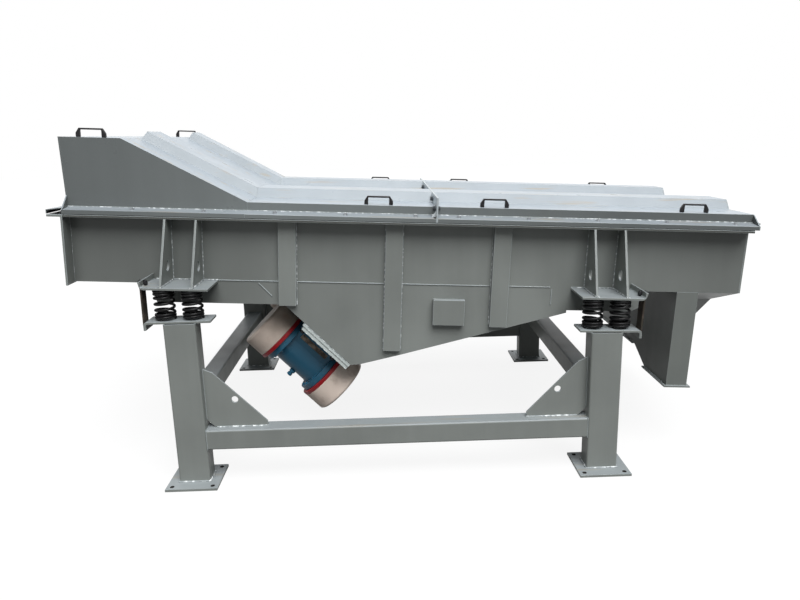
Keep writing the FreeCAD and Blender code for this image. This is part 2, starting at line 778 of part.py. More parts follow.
def joint_flange():
    """The upstanding strip where the two covers are screwed together."""
    gauge = d.sheet
    out, wall = flange_out, wall_out

    def half(up):
        return [(out, d.joint_high), (out, -d.lip_low), (out - gauge, -d.lip_low),
                (out - gauge, -d.lip_top - gauge), (wall - gauge, -d.lip_root - gauge),
                (wall - gauge, up - gauge)]

    outline = mirrored(half(term(0))) + half(d.far_strip_up)[::-1]
    keep(lean(prism("joint_flange", "YZ_Plane", outline,
                    d.joint_at - d.joint_thick / 2, d.joint_thick)))


def cover_end_plate():
    """The plate that closes the covers at the discharge end, with a flat lip across it."""
    low, far = term(0), d.far_strip_up
    lip = [(flange_out, -d.lip_low), (flange_out, -d.lip_top)]
    outline = mirrored(lip) + [(-wall_out, low)] + ridge_line(low, far) + [(wall_out, far)]
    outline += lip[::-1]
    plate = prism("Plate", "YZ_Plane", outline, cover_end - d.cover_end_thick,
                  d.cover_end_thick)
    root = cover_end - d.cover_end_thick / 2
    lip = across_box("Lip", rectangle(root, -d.end_lip_down, cover_end + d.end_lip_out,
                                      d.end_lip_thick - d.end_lip_down),
                     -wall_out, wall_out)
    keep(lean(join("cover_end", [plate, lip])))


def cover_seals():
    """Rubber strips under the covers' lips, on the box's flanges."""
    gauge = d.sheet
    outline = [(wall_out - gauge, -d.flange_top), (flange_out - gauge, -d.flange_top),
               (flange_out - gauge, -d.lip_top - gauge),
               (wall_out - gauge, -d.lip_root - gauge)]
    strips = [prism("Seal", "YZ_Plane", points, -d.box_feed,
                    d.box_feed + flange_end)
              for points in (mirrored(outline), outline)]
    keep(lean(group("cover_seals", strips)))


def handle(along, across, up):
    """A bridge handle: two solid feet with slanted shoulders and a thin bar between them."""
    base, bar, grip = d.handle_base / 2, d.handle_bar / 2, d.handle_grip / 2
    half = [(base, up), (base, up + d.handle_shoulder), (bar, up + d.handle_high)]
    hollow = [(grip, up), (grip, up + d.handle_high - d.handle_thick)]
    outline = mirrored(half) + half[::-1] + hollow + mirrored(hollow)[::-1]
    return across_box("Handle", [(along + x, z) for x, z in outline],
                      across - d.handle_wide / 2, across + d.handle_wide / 2)


def handles(label, spots):
    keep(lean(group(label, [handle(*spot) for spot in spots])))


# Discharge chutes


def chute(label, outline, bore, start, end, outlet):
    """A box chute with open ends and a rim round its outlet."""
    wall = d.chute_wall
    skin = prism("Skin", "YZ_Plane", outline, start, end - start)
    near, far = outlet
    low = -d.chute_low
    rim = prism("Rim", "XY_Plane", rectangle(start - d.rim_out, near - d.rim_out,
                                             end + d.rim_out, far + d.rim_out),
                low, d.rim_thick)
    space = prism("Space", "YZ_Plane", bore, start + wall, end - start - 2 * wall)
    keep(lean(cut(label, join("Shell", [skin, rim]), space)))


def narrow_chute():
    out, low, top = box_half, -d.chute_low, -d.side_low
    wall = d.chute_wall
    floor = d.narrow_outlet - out
    run = 2 * out - d.narrow_outlet
    fall = d.chute_low - d.side_low
    floor_wall = wall * slant(run, fall) / fall
    outline = [(-out, top), (out, top), (floor, low), (-out, low)]
    beyond = 20
    bore = [(wall - out, top + beyond), (out - floor_wall + run * beyond / fall, top + beyond),
            (floor - floor_wall, low), (floor - floor_wall, low - beyond),
            (wall - out, low - beyond)]
    chute("chute_narrow", outline, bore, narrow_start, chute_split,
          (-out, floor))


def wide_chute():
    out, low, top = box_half, -d.chute_low, -d.side_low
    wall = d.chute_wall
    shoulder = (d.wide_shoulder_in - out, -d.wide_shoulder_down)
    outlet = out - d.wide_outlet
    beyond = 20
    outline = [(-out, top), shoulder, (outlet, low), (out, low), (out, top)]
    bore = [(wall * 3 - out, top + beyond), (wall * 3 - out, top),
            (shoulder[0] + wall, shoulder[1] + wall * 1.4),
            (outlet + wall, low + wall), (outlet + wall, low - beyond),
            (out - wall, low - beyond), (out - wall, top + beyond)]
    chute("chute_wide", outline, bore, chute_split, d.box_discharge, (outlet, out))


# Vibrating motors and the plates that carry them

mount_top = (d.hopper_foot_along * sine(d.motor_angle)
             + d.hopper_foot_down * cosine(d.motor_angle))
shaft_down = mount_top + 2 * d.mount_thick + d.motor_centre


def motor_mount():
    """Two plates one on the other under the slanted hopper wall."""
    inside = box_half
    plates = [across_box("Plate",
                         rectangle(d.mount_start + d.mount_step * i,
                                   -mount_top - d.mount_thick * (i + 1),
                                   d.mount_end, -mount_top - d.mount_thick * i),
                         -inside, inside) for i in (0, 1)]
    keep(hang(join("motor_mount", plates)))


def turned(label, points):
    """A shape turned about the motor's shaft line."""
    body = doc.addObject("PartDesign::Body", "Body")
    body.Label = label
    sketch = new_sketch(body, "XZ_Plane")
    draw_outline(sketch, points)
    revolve = body.newObject("PartDesign::Revolution", "Turn")
    revolve.Profile = sketch
    revolve.ReferenceAxis = (sketch, ["H_Axis"])
    revolve.Angle = 360
    sketch.Visibility = False
    return body


def motor_ends():
    cover_long = d.motor_cover_long
    first = (-d.motor_start, cover_long - d.motor_start)
    second = (d.motor_end - cover_long, d.motor_end)
    return first, second


def shaft_frame(thing, row):
    """Stand a turned shape, drawn about the X axis, on the motor's shaft line."""
    slope = d.incline + d.motor_angle
    return place(thing, -shaft_down * sine(slope), row * d.motor_line,
                 d.deck_height - shaft_down * cosine(slope), slope)


def motor_covers(label, row):
    (a, b), (c, e) = motor_ends()
    r, bevel = d.motor_cover_radius, d.motor_cover_bevel
    first = turned("Cover", [(a, 0), (a, r - bevel), (a + bevel, r), (b, r), (b, 0)])
    second = turned("Cover", [(c, 0), (c, r), (e - bevel, r), (e, r - bevel), (e, 0)])
    keep(shaft_frame(group(label, [first, second]), row))


def motor_rings(label, row):
    (a, b), (c, e) = motor_ends()
    r, wide = d.ring_radius, d.ring_wide
    first = turned("Ring", [(b, 0), (b, r), (b + wide, r), (b + wide, 0)])
    second = turned("Ring", [(c - wide, 0), (c - wide, r), (c, r), (c, 0)])
    keep(shaft_frame(group(label, [first, second]), row))


def motor_body(label, row):
    """The round housing with two end flanges, a saddle and four foot pads."""
    (a, b), (c, e) = motor_ends()
    start, end = b + d.ring_wide, c - d.ring_wide
    big, small, wide = d.motor_flange_radius, d.motor_body_radius, d.motor_flange_wide
    housing = turned("Housing", [(start, 0), (start, big), (start + wide, big),
                                 (start + wide, small), (end - wide, small),
                                 (end - wide, big), (end, big), (end, 0)])
    seat = d.motor_centre
    saddle = across_box("Saddle", rectangle(start + wide, 0, end - wide, seat),
                        -d.saddle_half, d.saddle_half)
    pads = [across_box("Pad", rectangle(at - d.foot_pad_wide / 2, seat - d.foot_pad_thick,
                                        at + d.foot_pad_wide / 2, seat),
                       -d.foot_pad_half, d.foot_pad_half)
            for at in (d.foot_pad_first, d.foot_pad_second)]
    keep(shaft_frame(join(label, [housing, saddle] + pads), row))


# Assembly

for name, side, row in CORNERS:
    foot_plate(name, side, row)
    leg(name, side, row)
    lower_seat(name, side, row)
    spring_pair(name, side, row)
    spring_bracket(name, side, row)
cross_beam("front_beam", -1)
cross_beam("rear_beam", 1)
side_beam("feed_side_beam", -1)
side_beam("discharge_side_beam", 1)
corner_webs("front_corner_webs", -1)
corner_webs("rear_corner_webs", 1)
limit_straps()

for label, row in (("near", -1), ("far", 1)):
    side_plate("side_plate_" + label, row)
    box_flange("box_flange_" + label, row)
    ribs("ribs_" + label, row)
    motor_body("motor_%s_body" % label, row)
    motor_covers("motor_%s_covers" % label, row)
    motor_rings("motor_%s_rings" % label, row)
bottom_pan()
feed_end_plate()
discharge_end_plate()
deck("upper_deck", d.upper_deck_down, chute_split)
deck("lower_deck", d.lower_deck_down, narrow_start)
side_pads()
motor_mount()
narrow_chute()
wide_chute()

hood()
hood_end()
cover("cover_feed", -hood_foot, d.joint_at - d.joint_thick / 2)
cover("cover_discharge", d.joint_at + d.joint_thick / 2, cover_end - d.cover_end_thick)
joint_flange()
cover_end_plate()
cover_seals()
far = wall_out - d.handle_in
near, flat = -far, term(0)
handles("handles_feed", [(d.hood_handle_near_in - d.box_feed, near, d.hood_top),
                         (d.hood_handle_far_in - d.box_feed, far, d.hood_top),
                         (d.joint_at - d.joint_handle_before, near, flat),
                         (d.joint_at - d.joint_handle_before, far, d.far_strip_up)])
handles("handles_discharge", [(d.joint_at + d.joint_handle_near_after, near, flat),
                              (d.joint_at + d.joint_handle_far_after, far, d.far_strip_up),
                              (d.box_discharge - d.end_handle_near_in, near, flat),
                              (d.box_discharge - d.end_handle_far_in, far, d.far_strip_up)])

doc.recompute()

for thing in doc.Objects:
    if {"Invalid", "Error"} & set(thing.State):
        raise RuntimeError("%s (%s) did not build" % (thing.Label, thing.Name))

for node in nodes:
    shape = node.Shape
    if shape.isNull() or not shape.isValid():
        raise RuntimeError("%s has no valid shape" % node.Label)
    shape.exportStep("parts/%s.step" % node.Label)
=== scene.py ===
# %% [markdown]
# # A linear vibrating screen
# This machine sorts gravel by shaking it down two tilted decks. A grey steel box under a sheet
# cover stands on coil springs, two vibrator motors hang under it, and chutes lead the sizes away.
# The exact solids come from a construction program. Here they get their looks: softened
# edges, paint, welds, screws, wound springs and rubber.
# Everything is in metres, with +X from the feed end to the discharge end and +Z up.

# %% Load the frame
import math

import bmesh
import bpy
from mathutils import Matrix, Vector


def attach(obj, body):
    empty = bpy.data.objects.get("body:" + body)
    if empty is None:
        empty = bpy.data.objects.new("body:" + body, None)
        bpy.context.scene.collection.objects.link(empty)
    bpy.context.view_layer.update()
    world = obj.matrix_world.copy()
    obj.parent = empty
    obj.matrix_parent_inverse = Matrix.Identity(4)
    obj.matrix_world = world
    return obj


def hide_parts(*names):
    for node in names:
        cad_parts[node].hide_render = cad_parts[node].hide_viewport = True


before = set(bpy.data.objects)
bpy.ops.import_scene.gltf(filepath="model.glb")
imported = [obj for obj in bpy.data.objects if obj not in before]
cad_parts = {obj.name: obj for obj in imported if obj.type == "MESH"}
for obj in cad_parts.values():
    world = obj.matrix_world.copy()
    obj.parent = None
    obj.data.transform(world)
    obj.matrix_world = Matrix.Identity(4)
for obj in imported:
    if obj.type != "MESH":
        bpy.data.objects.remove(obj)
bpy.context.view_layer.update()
print("The frame has %d pieces" % len(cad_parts))

# %% [markdown]
# ## Viewpoint
# The picture was taken standing in front of the long side, eyes at 1.6 m, looking a little down.
# A camera could be aimed with a tracking target, but three plain directions are easier to check:
# which way is right, which way is forward, and up follows from them.

# %% Camera
EYE = (-0.023, -3.9805, 1.633)
LENS = 30.71

lens = bpy.data.cameras.new("viewpoint")
lens.sensor_width = 36
lens.lens = LENS
eye = bpy.data.objects.new("viewpoint", lens)
bpy.context.scene.collection.objects.link(eye)
right = Vector((0.99940, -0.02253, -0.02613)).normalized()
forward = Vector((0.01578, 0.97200, -0.23446)).normalized()
up = right.cross(forward).normalized()
right = forward.cross(up)
turn = Matrix((right, up, -forward)).transposed().to_4x4()
eye.matrix_world = Matrix.Translation(EYE) @ turn
bpy.context.scene.camera = eye
print("The camera stands at", tuple(round(v, 3) for v in eye.location))

# %% [markdown]
# ## Node helpers
# Materials, the world and Geometry Nodes are all node trees. They could be clicked together by
# hand; in a script, one small function that adds a node, sets its sockets and links what is
# itself an output keeps each recipe short enough to read.

# %% Helpers for node trees


def add(tree, kind, inputs=None, **settings):
    """Add one node. A plain value is set on its socket, and an output is linked to it."""
    node = tree.nodes.new(kind)
    for word, value in settings.items():
        setattr(node, word, value)
    for socket, value in (inputs or {}).items():
        if isinstance(value, bpy.types.NodeSocket):
            tree.links.new(value, node.inputs[socket])
        else:
            node.inputs[socket].default_value = value
    return node


def calc(tree, operation, first, second=0.0):
    """One sum of two numbers, either of which may be a socket."""
    return add(tree, "ShaderNodeMath", {0: first, 1: second}, operation=operation).outputs[0]


def rgb(red, green, blue):
    """A colour as a screen shows it, 0 to 255, made into the linear numbers that shaders use."""
    shades = [((v / 255 + 0.055) / 1.055) ** 2.4 if v > 10 else v / 255 / 12.92
              for v in (red, green, blue)]
    return (*shades, 1.0)


print("A mid grey of 118 is", round(rgb(118, 118, 118)[0], 3), "in linear light")

# %% [markdown]
# ## Light and floor
# The machine stood under a bright sky, with the light from above and in front. A ring of
# softboxes could copy that, but a wide sun in front and a weaker one behind, over a dim world,
# give the same pale tops and the same soft shadow under the covers' lips with fewer hot spots.
# What the camera sees behind the machine stays white at strength 1 through the light path, so no
# extra light is needed for a white background. The floor is white to the camera too, and shows
# dimmer in glossy paint, as ground in the machine's own shade does. The light that it throws
# back up from below is that of dark ground.

# %% World and suns
SKY_LIGHT = 0.2
FRONT_LIGHT = 4.5
BACK_LIGHT = 1.5

world = bpy.data.worlds.new("studio")
bpy.context.scene.world = world
world.use_nodes = True
sky = world.node_tree
sky.nodes.clear()
path = add(sky, "ShaderNodeLightPath")
seen = calc(sky, "MAXIMUM", path.outputs["Is Camera Ray"],
            calc(sky, "MAXIMUM", path.outputs["Is Glossy Ray"],
                 path.outputs["Is Transmission Ray"]))
around = add(sky, "ShaderNodeBackground", {"Color": (0.93, 0.97, 1, 1), "Strength": SKY_LIGHT})
behind = add(sky, "ShaderNodeBackground", {"Color": (1, 1, 1, 1), "Strength": 1.0})
both = add(sky, "ShaderNodeMixShader", {0: seen, 1: around.outputs[0], 2: behind.outputs[0]})
add(sky, "ShaderNodeOutputWorld", {"Surface": both.outputs[0]})


def wide_sun(name, way, strength, width):
    """A soft sun that stands in the way given and is so many degrees wide."""
    sun = bpy.data.lights.new(name, "SUN")
    sun.energy = strength
    sun.angle = math.radians(width)
    holder = bpy.data.objects.new(name, sun)
    holder.rotation_euler = Vector(way).to_track_quat("Z", "Y").to_euler()
    bpy.context.scene.collection.objects.link(holder)
    return holder


wide_sun("front_sky", (0.178, -0.515, 0.838), FRONT_LIGHT, 50)
wide_sun("back_sky", (0.0, 0.75, 0.66), BACK_LIGHT, 70).visible_glossy = False
print("Sky %.2f, suns %.1f and %.1f" % (SKY_LIGHT, FRONT_LIGHT, BACK_LIGHT))

# %% Floor
DARK_GROUND, WHITE_GROUND = 0.12, 0.80
MIRRORED = 0.4
GLOW = 0.88
FLOOR_HALF = 30.0

floor_finish = bpy.data.materials.new("studio_floor")
floor_finish.use_nodes = True
tree = floor_finish.node_tree
tree.nodes.clear()
path = add(tree, "ShaderNodeLightPath")
mirrored = calc(tree, "MULTIPLY", path.outputs["Is Glossy Ray"], MIRRORED)
seen = calc(tree, "MAXIMUM", path.outputs["Is Camera Ray"],
            calc(tree, "MAXIMUM", path.outputs["Is Transmission Ray"], mirrored))
shade = calc(tree, "ADD", DARK_GROUND,
             calc(tree, "MULTIPLY", seen, WHITE_GROUND - DARK_GROUND))
matt = add(tree, "ShaderNodeBsdfDiffuse", {"Color": shade})
glow = add(tree, "ShaderNodeEmission", {"Color": (1, 1, 1, 1), "Strength": 1.0})
mixed = add(tree, "ShaderNodeMixShader", {0: calc(tree, "MULTIPLY", seen, GLOW),
                                          1: matt.outputs[0], 2: glow.outputs[0]})
add(tree, "ShaderNodeOutputMaterial", {"Surface": mixed.outputs[0]})

floor_mesh = bpy.data.meshes.new("studio_floor")
floor_mesh.from_pydata([(x * FLOOR_HALF, y * FLOOR_HALF, 0)
                        for x, y in ((-1, -1), (1, -1), (1, 1), (-1, 1))], [], [(0, 1, 2, 3)])
floor_mesh.materials.append(floor_finish)
floor = bpy.data.objects.new("studio_floor", floor_mesh)
bpy.context.scene.collection.objects.link(floor)
bpy.context.scene.view_settings.view_transform = "Standard"
print("The floor is %d m wide" % (2 * FLOOR_HALF))

# %% [markdown]
# ## Finishes
# The steel is sprayed with a grey-green satin enamel, mixed a little lighter or darker from piece
# to piece. A pale film lies on what faces up: stone dust, and painted light from above, which is
# why the tops look pale and the walls dark. Rain water that stood on the covers has drawn the dust
# out in faint brown streaks. A picture of dirt could be wrapped round the machine, but it would
# slide over the edges. Here the faces' own direction decides where the film lies, and patterns in
# the room break it up.

# %% Dust and painted top light
# A pale bluish film for what faces up: stone dust and painted light from above.
DUST_AND_TOP_LIGHT = rgb(160, 169, 177)
STAIN = rgb(168, 156, 136)


def dust_and_top_light(tree, where, base, amount, less_on_lips):
    """Dust and painted top light on what looks up, patchy, stained in streaks, less on the lips.
    """
    up_facing = add(tree, "ShaderNodeSeparateXYZ",
                    {0: add(tree, "ShaderNodeNewGeometry").outputs["Normal"]}).outputs["Z"]
    lying = add(tree, "ShaderNodeMapRange", {"Value": up_facing, "From Min": 0.25,
                                             "From Max": 0.8}).outputs[0]
    patches = add(tree, "ShaderNodeTexNoise", {"Vector": where, "Scale": 6.0, "Detail": 6.0})
    thick = add(tree, "ShaderNodeMapRange", {"Value": patches.outputs[0], "From Min": 0.3,
                                             "From Max": 0.7, "To Min": amount * 0.88,
                                             "To Max": amount}).outputs[0]
    across = add(tree, "ShaderNodeSeparateXYZ", {0: where}).outputs["Y"]
    left = add(tree, "ShaderNodeMapRange", {"Value": calc(tree, "ABSOLUTE", across),
                                            "From Min": 0.695, "From Max": 0.715,
                                            "To Min": 1.0, "To Max": 1.0 - less_on_lips}).outputs[0]
    lying = calc(tree, "MULTIPLY", lying, left)
    drawn_out = add(tree, "ShaderNodeMapping", {"Vector": where, "Scale": (2.2, 24.0, 24.0)})
    puddles = add(tree, "ShaderNodeTexNoise", {"Vector": drawn_out.outputs[0], "Scale": 1.0,
                                               "Detail": 4.0})
    stained = add(tree, "ShaderNodeMapRange", {"Value": puddles.outputs[0], "From Min": 0.6,
                                               "From Max": 0.7, "To Max": 0.7}).outputs[0]
    film = add(tree, "ShaderNodeMix", {0: stained, 6: DUST_AND_TOP_LIGHT, 7: STAIN}, data_type="RGBA")
    dusted_and_lit = add(tree, "ShaderNodeMix", {0: calc(tree, "MULTIPLY", lying, thick), 6: base,
                                        7: film.outputs[2]}, data_type="RGBA")
    return dusted_and_lit.outputs[2]


print("Dust is a grey of", [round(part, 2) for part in DUST_AND_TOP_LIGHT[:3]], "in linear light")

# %% [markdown]
# A single colour would look like plastic, so every paint gets broad clouds where the coat is
# thicker, faint runs down the walls, orange peel as bump, and a gloss that changes from place to
# place. The long walls and covers also darken to their ends, as painted shade.

# %% Sprayed paint


def sprayed(name, colour, change=0.1, rough=0.38, gloss_change=0.12, peel=0.35, grain=170.0,
            dust=0.0, less_on_lips=0.0, ends=0.0, end_shade_centre=0.0, shine=0.3):
    """Satin paint: clouds, runs, orange peel, uneven gloss, dust, and painted end shade and top
    light.
    """
    finish = bpy.data.materials.new(name)
    finish.use_nodes = True
    tree = finish.node_tree
    shader = tree.nodes["Principled BSDF"]
    shader.inputs["Specular IOR Level"].default_value = shine
    where = add(tree, "ShaderNodeTexCoord").outputs["Object"]
    clouds = add(tree, "ShaderNodeTexNoise", {"Vector": where, "Scale": 2.6, "Detail": 5.0})
    upright = add(tree, "ShaderNodeMapping", {"Vector": where, "Scale": (14.0, 14.0, 1.1)})
    runs = add(tree, "ShaderNodeTexNoise", {"Vector": upright.outputs[0], "Scale": 1.0,
                                            "Detail": 3.0})
    blend = calc(tree, "ADD", calc(tree, "MULTIPLY", clouds.outputs[0], 0.7),
                 calc(tree, "MULTIPLY", runs.outputs[0], 0.3))
    dark = tuple(v * (1 - change) for v in colour[:3]) + (1,)
    light = tuple(min(1, v * (1 + change)) for v in colour[:3]) + (1,)
    spread = add(tree, "ShaderNodeMapRange", {"Value": blend, "From Min": 0.35, "From Max": 0.65})
    tint = add(tree, "ShaderNodeMix", {0: spread.outputs[0], 6: dark, 7: light},
               data_type="RGBA").outputs[2]
    # Painted shade: darker away from the centre towards the ends.
    if ends:
        along = add(tree, "ShaderNodeSeparateXYZ", {0: where}).outputs["X"]
        away = calc(tree, "ABSOLUTE", calc(tree, "SUBTRACT", along, end_shade_centre))
        far_out = add(tree, "ShaderNodeMapRange", {"Value": away, "From Min": 0.3,
                                                   "From Max": 1.5, "To Max": ends}).outputs[0]
        end_shade_colour = (*[part * 0.45 for part in colour[:3]], 1.0)
        tint = add(tree, "ShaderNodeMix", {0: far_out, 6: tint, 7: end_shade_colour},
                   data_type="RGBA").outputs[2]
    # Dust and painted light from above on what faces up.
    if dust:
        tint = dust_and_top_light(tree, where, tint, dust, less_on_lips)
    tree.links.new(tint, shader.inputs["Base Color"])
    patches = add(tree, "ShaderNodeTexNoise", {"Vector": where, "Scale": 9.0, "Detail": 4.0})
    gloss = add(tree, "ShaderNodeMapRange", {"Value": patches.outputs[0], "From Min": 0.3,
                                             "From Max": 0.7, "To Min": rough - gloss_change / 2,
                                             "To Max": rough + gloss_change / 2})
    tree.links.new(gloss.outputs[0], shader.inputs["Roughness"])
    skin = add(tree, "ShaderNodeTexNoise", {"Vector": where, "Scale": grain, "Detail": 2.0})
    relief = add(tree, "ShaderNodeBump", {"Height": skin.outputs[0], "Strength": peel,
                                          "Distance": 0.0006})
    tree.links.new(relief.outputs[0], shader.inputs["Normal"])
    return finish


# dust= here lays stone dust and painted top light on what faces up.
machine_grey = sprayed("machine_grey", rgb(120, 124, 121), dust=0.4)
print("A dusty paint takes %d nodes" % len(machine_grey.node_tree.nodes))

# %% The machine's paints
# The side plates' paint darkens to the ends as painted shade, with dust and painted top light.
wall_grey = sprayed("wall_grey", rgb(122, 126, 123), dust=0.3, ends=0.6, end_shade_centre=0.3)
# The chutes' darker paint is painted shade under the box.
chute_shade_grey = sprayed("chute_shade_grey", rgb(104, 108, 105), dust=0.3)
# The motor plates' paler paint is painted light.
mount_lit_grey = sprayed("mount_lit_grey", rgb(180, 188, 186), rough=0.3, dust=0.3)
# A dark grey that is painted shade: on the box flange under the covers' lips, and in weld gaps.
painted_shade_grey = sprayed("painted_shade_grey", rgb(74, 76, 73), dust=0.15)
# The covers take dust and painted top light on what faces up, and painted shade to their ends.
cover_grey = sprayed("cover_grey", rgb(107, 112, 112), change=0.07, rough=0.33, dust=0.97,
                     less_on_lips=0.4, ends=0.6, end_shade_centre=-0.35)
# A paler paint for bevels and some beads: painted highlight, where paint is also thin.
edge_highlight_grey = sprayed("edge_highlight_grey", rgb(148, 155, 155), rough=0.3, dust=0.3)
# The braces' pale paint is a painted highlight.
brace_highlight = sprayed("brace_highlight", rgb(218, 224, 226), rough=0.3)
# The joint flange's paler paint is painted light.
joint_flange_lit = sprayed("joint_flange_lit", rgb(172, 180, 184), rough=0.3)
motor_blue = sprayed("motor_blue", rgb(43, 95, 121), change=0.16, rough=0.3)
motor_red = sprayed("motor_red", rgb(150, 24, 32), rough=0.35)
spring_black = sprayed("spring_black", rgb(18, 18, 19), change=0.3, rough=0.3, grain=300.0,
                       shine=0.15)
grip_black = sprayed("grip_black", rgb(20, 19, 21), change=0.3, rough=0.42, grain=500.0)
bolt_black = sprayed("bolt_black", rgb(34, 34, 36), change=0.3, rough=0.4, grain=400.0)
print("Paints mixed:", len(bpy.data.materials) - 1)

# %% [markdown]
# Some finishes carry a second colour in patches: mud on the motors' cream covers, thicker and
# darker towards their tops as dirt and painted shade under the box, near-white spots on the weld
# beads as painted highlights, and dust on rubber. A painted mask for each could do it, but a
# pattern in the room fits every piece at once. The travel straps are cut from old conveyor belt,
# with a brown fabric core, and the seals are black strips. The lips' screws are zinc plated, with
# a pale crystal pattern, and the deck wires are steel that the stones have polished.

# %% Patches, rubber and bare metal


def patched(finish, colour, scale, start=0.5, full=0.75, most=0.6, low=None, high=None):
    """Lay a second colour over a finish in patches, from a height low up to a height high."""
    tree = finish.node_tree
    shader = tree.nodes["Principled BSDF"]
    where = [n for n in tree.nodes if n.type == "TEX_COORD"][0].outputs["Object"]
    patches = add(tree, "ShaderNodeTexNoise", {"Vector": where, "Scale": scale, "Detail": 6.0})
    film = add(tree, "ShaderNodeMapRange", {"Value": patches.outputs[0], "From Min": start,
                                            "From Max": full, "To Max": most}).outputs[0]
    if high:
        above = add(tree, "ShaderNodeSeparateXYZ", {0: where}).outputs["Z"]
        part = add(tree, "ShaderNodeMapRange", {"Value": above, "From Min": low,
                                                "From Max": high}).outputs[0]
        film = calc(tree, "MULTIPLY", film, part)
    base = shader.inputs["Base Color"].links[0].from_socket
    laid = add(tree, "ShaderNodeMix", {0: film, 6: base, 7: colour}, data_type="RGBA")
    tree.links.new(laid.outputs[2], shader.inputs["Base Color"])
    return finish


def rubber(name, colour, dust):
    """A matt rubber with a film of dust in broad patches and a fine scratchy grain."""
    finish = sprayed(name, colour, change=0.25, rough=0.78, gloss_change=0.1, grain=260.0)
    return patched(finish, dust, 22.0)


def plated(name, colour, rough):
    """A bare metal whose plating breaks up into small crystals."""
    finish = bpy.data.materials.new(name)
    finish.use_nodes = True
    tree = finish.node_tree
    shader = tree.nodes["Principled BSDF"]
    shader.inputs["Metallic"].default_value = 0.85
    where = add(tree, "ShaderNodeTexCoord").outputs["Object"]
    cells = add(tree, "ShaderNodeTexVoronoi", {"Vector": where, "Scale": 260.0})
    dark = tuple(v * 0.75 for v in colour[:3]) + (1,)
    tint = add(tree, "ShaderNodeMix", {0: cells.outputs[0], 6: colour, 7: dark},
               data_type="RGBA")
    tree.links.new(tint.outputs[2], shader.inputs["Base Color"])
    gloss = add(tree, "ShaderNodeMapRange", {"Value": cells.outputs[0], "To Min": rough - 0.08,
                                             "To Max": rough + 0.12})
    tree.links.new(gloss.outputs[0], shader.inputs["Roughness"])
    relief = add(tree, "ShaderNodeBump", {"Height": cells.outputs[0], "Strength": 0.25,
                                          "Distance": 0.0003})
    tree.links.new(relief.outputs[0], shader.inputs["Normal"])
    return finish


# Near-white patches on the weld beads: painted highlights.
weld_highlight_grey = patched(sprayed("weld_highlight_grey", rgb(138, 144, 144), rough=0.26, grain=420.0, dust=0.3),
                    rgb(232, 236, 237), 60.0, start=0.5, full=0.62, most=0.9)
print("Patches make that %d nodes" % len(weld_highlight_grey.node_tree.nodes))

# %% Motor, rubber and metal finishes
motor_cream = sprayed("motor_cream", rgb(236, 219, 206), change=0.1, rough=0.5, grain=60.0)
# A dark brown film grows towards the covers' tops, under the box: dirt and painted shade.
patched(motor_cream, rgb(96, 84, 70), 5.0, start=0.1, full=0.75, low=0.42, high=0.72, most=0.85)
patched(motor_cream, rgb(150, 118, 92), 11.0, start=0.56, full=0.72, most=0.5)
dried_mud = patched(sprayed("dried_mud", rgb(92, 82, 72), change=0.3, rough=0.8, grain=300.0),
                    rgb(178, 160, 142), 30.0, start=0.42, full=0.6, most=0.8)
belt = rubber("belt", rgb(50, 45, 38), rgb(118, 104, 94))
seal_rubber = rubber("seal_rubber", rgb(34, 34, 34), rgb(92, 92, 90))
# A near-black matt finish, painted shade, for the feet's bolt holes and the decks in the box.
shade_dark = sprayed("shade_dark", rgb(38, 36, 34), change=0.3, rough=0.8, grain=300.0)
zinc = plated("zinc", rgb(176, 180, 184), 0.36)
deck_steel = plated("deck_steel", rgb(132, 130, 126), 0.42)
bolt_steel = plated("bolt_steel", rgb(78, 82, 86), 0.3)
print("Finishes in all:", len(bpy.data.materials) - 1)

# %% [markdown]
# ## Places on the leaning box
# The box leans 3.04 degrees down to the discharge end. Its pieces are measured along it, across
# it and square to its deck line. Each screw or weld could be worked out in the room by hand, but
# two small functions turn such sizes into places, and a new lean would move everything along.

# %% The box's own measures
LEAN = math.radians(3.04)
DECK_HEIGHT = 1.308
BOX_HALF = 0.6965


def on_box(along, across, above):
    """A point on the leaning box, given along it, across it and above its deck line."""
    return Vector((along * math.cos(LEAN) + above * math.sin(LEAN), across,
                   DECK_HEIGHT - along * math.sin(LEAN) + above * math.cos(LEAN)))


def box_way(along, across, above):
    """A direction in the box's own frame, turned into the room."""
    return on_box(along, across, above) - on_box(0, 0, 0)


print("The deck line ends at", tuple(round(v, 3) for v in on_box(1.745, 0, 0)))

# %% Legs, seats and brackets
SPRING_HIGH = 0.146
SPRING_OUT = 0.010
LEG_X = 1.0
LEG_Y = 0.8675
BRACKET_OUT = {-1: 0.146, 1: 0.199}
BRACKET_LONG = {-1: 0.309, 1: 0.298}
SIDE_LOW = 0.395
SEAT_THICK = 0.011
SEAT_OUT = 0.168
SEAT_TILT = {-1: 0.0, 1: math.radians(2)}
CORNERS = {"front_feed": (-1, -1), "front_discharge": (1, -1),
           "rear_feed": (-1, 1), "rear_discharge": (1, 1)}


def bracket_height(x):
    """How high over the floor the brackets' undersides are at x."""
    return DECK_HEIGHT - (SIDE_LOW + x * math.sin(LEAN)) / math.cos(LEAN)


def seat_top(side, x):
    """How high over the floor the top of a leg's seat is at x."""
    leg_top = bracket_height(side * (LEG_X + SPRING_OUT)) - SPRING_HIGH - SEAT_THICK
    tilt = SEAT_TILT[side]
    return leg_top + SEAT_THICK / math.cos(tilt) - (x - side * LEG_X) * math.tan(tilt)


print("The brackets are %.3f and %.3f m high" % (bracket_height(-LEG_X), bracket_height(LEG_X)))

# %% [markdown]
# ## Plates, tubes and folded sheets
# Real plates have their edges ground off, tubes are rolled and sheets are folded, so no edge is
# knife sharp. The solids could be left as they are, and the light would then break hard on every
# corner. Instead each one is copied, its loose triangles are joined, and a bevel takes a
# millimetre or two off. The bevel's own faces get a paler paint, a painted highlight along the
# edges, where the paint is also thin. Normals weighed by the faces' size then keep the large faces
# flat in the light.

# %% Clean copies and finished meshes


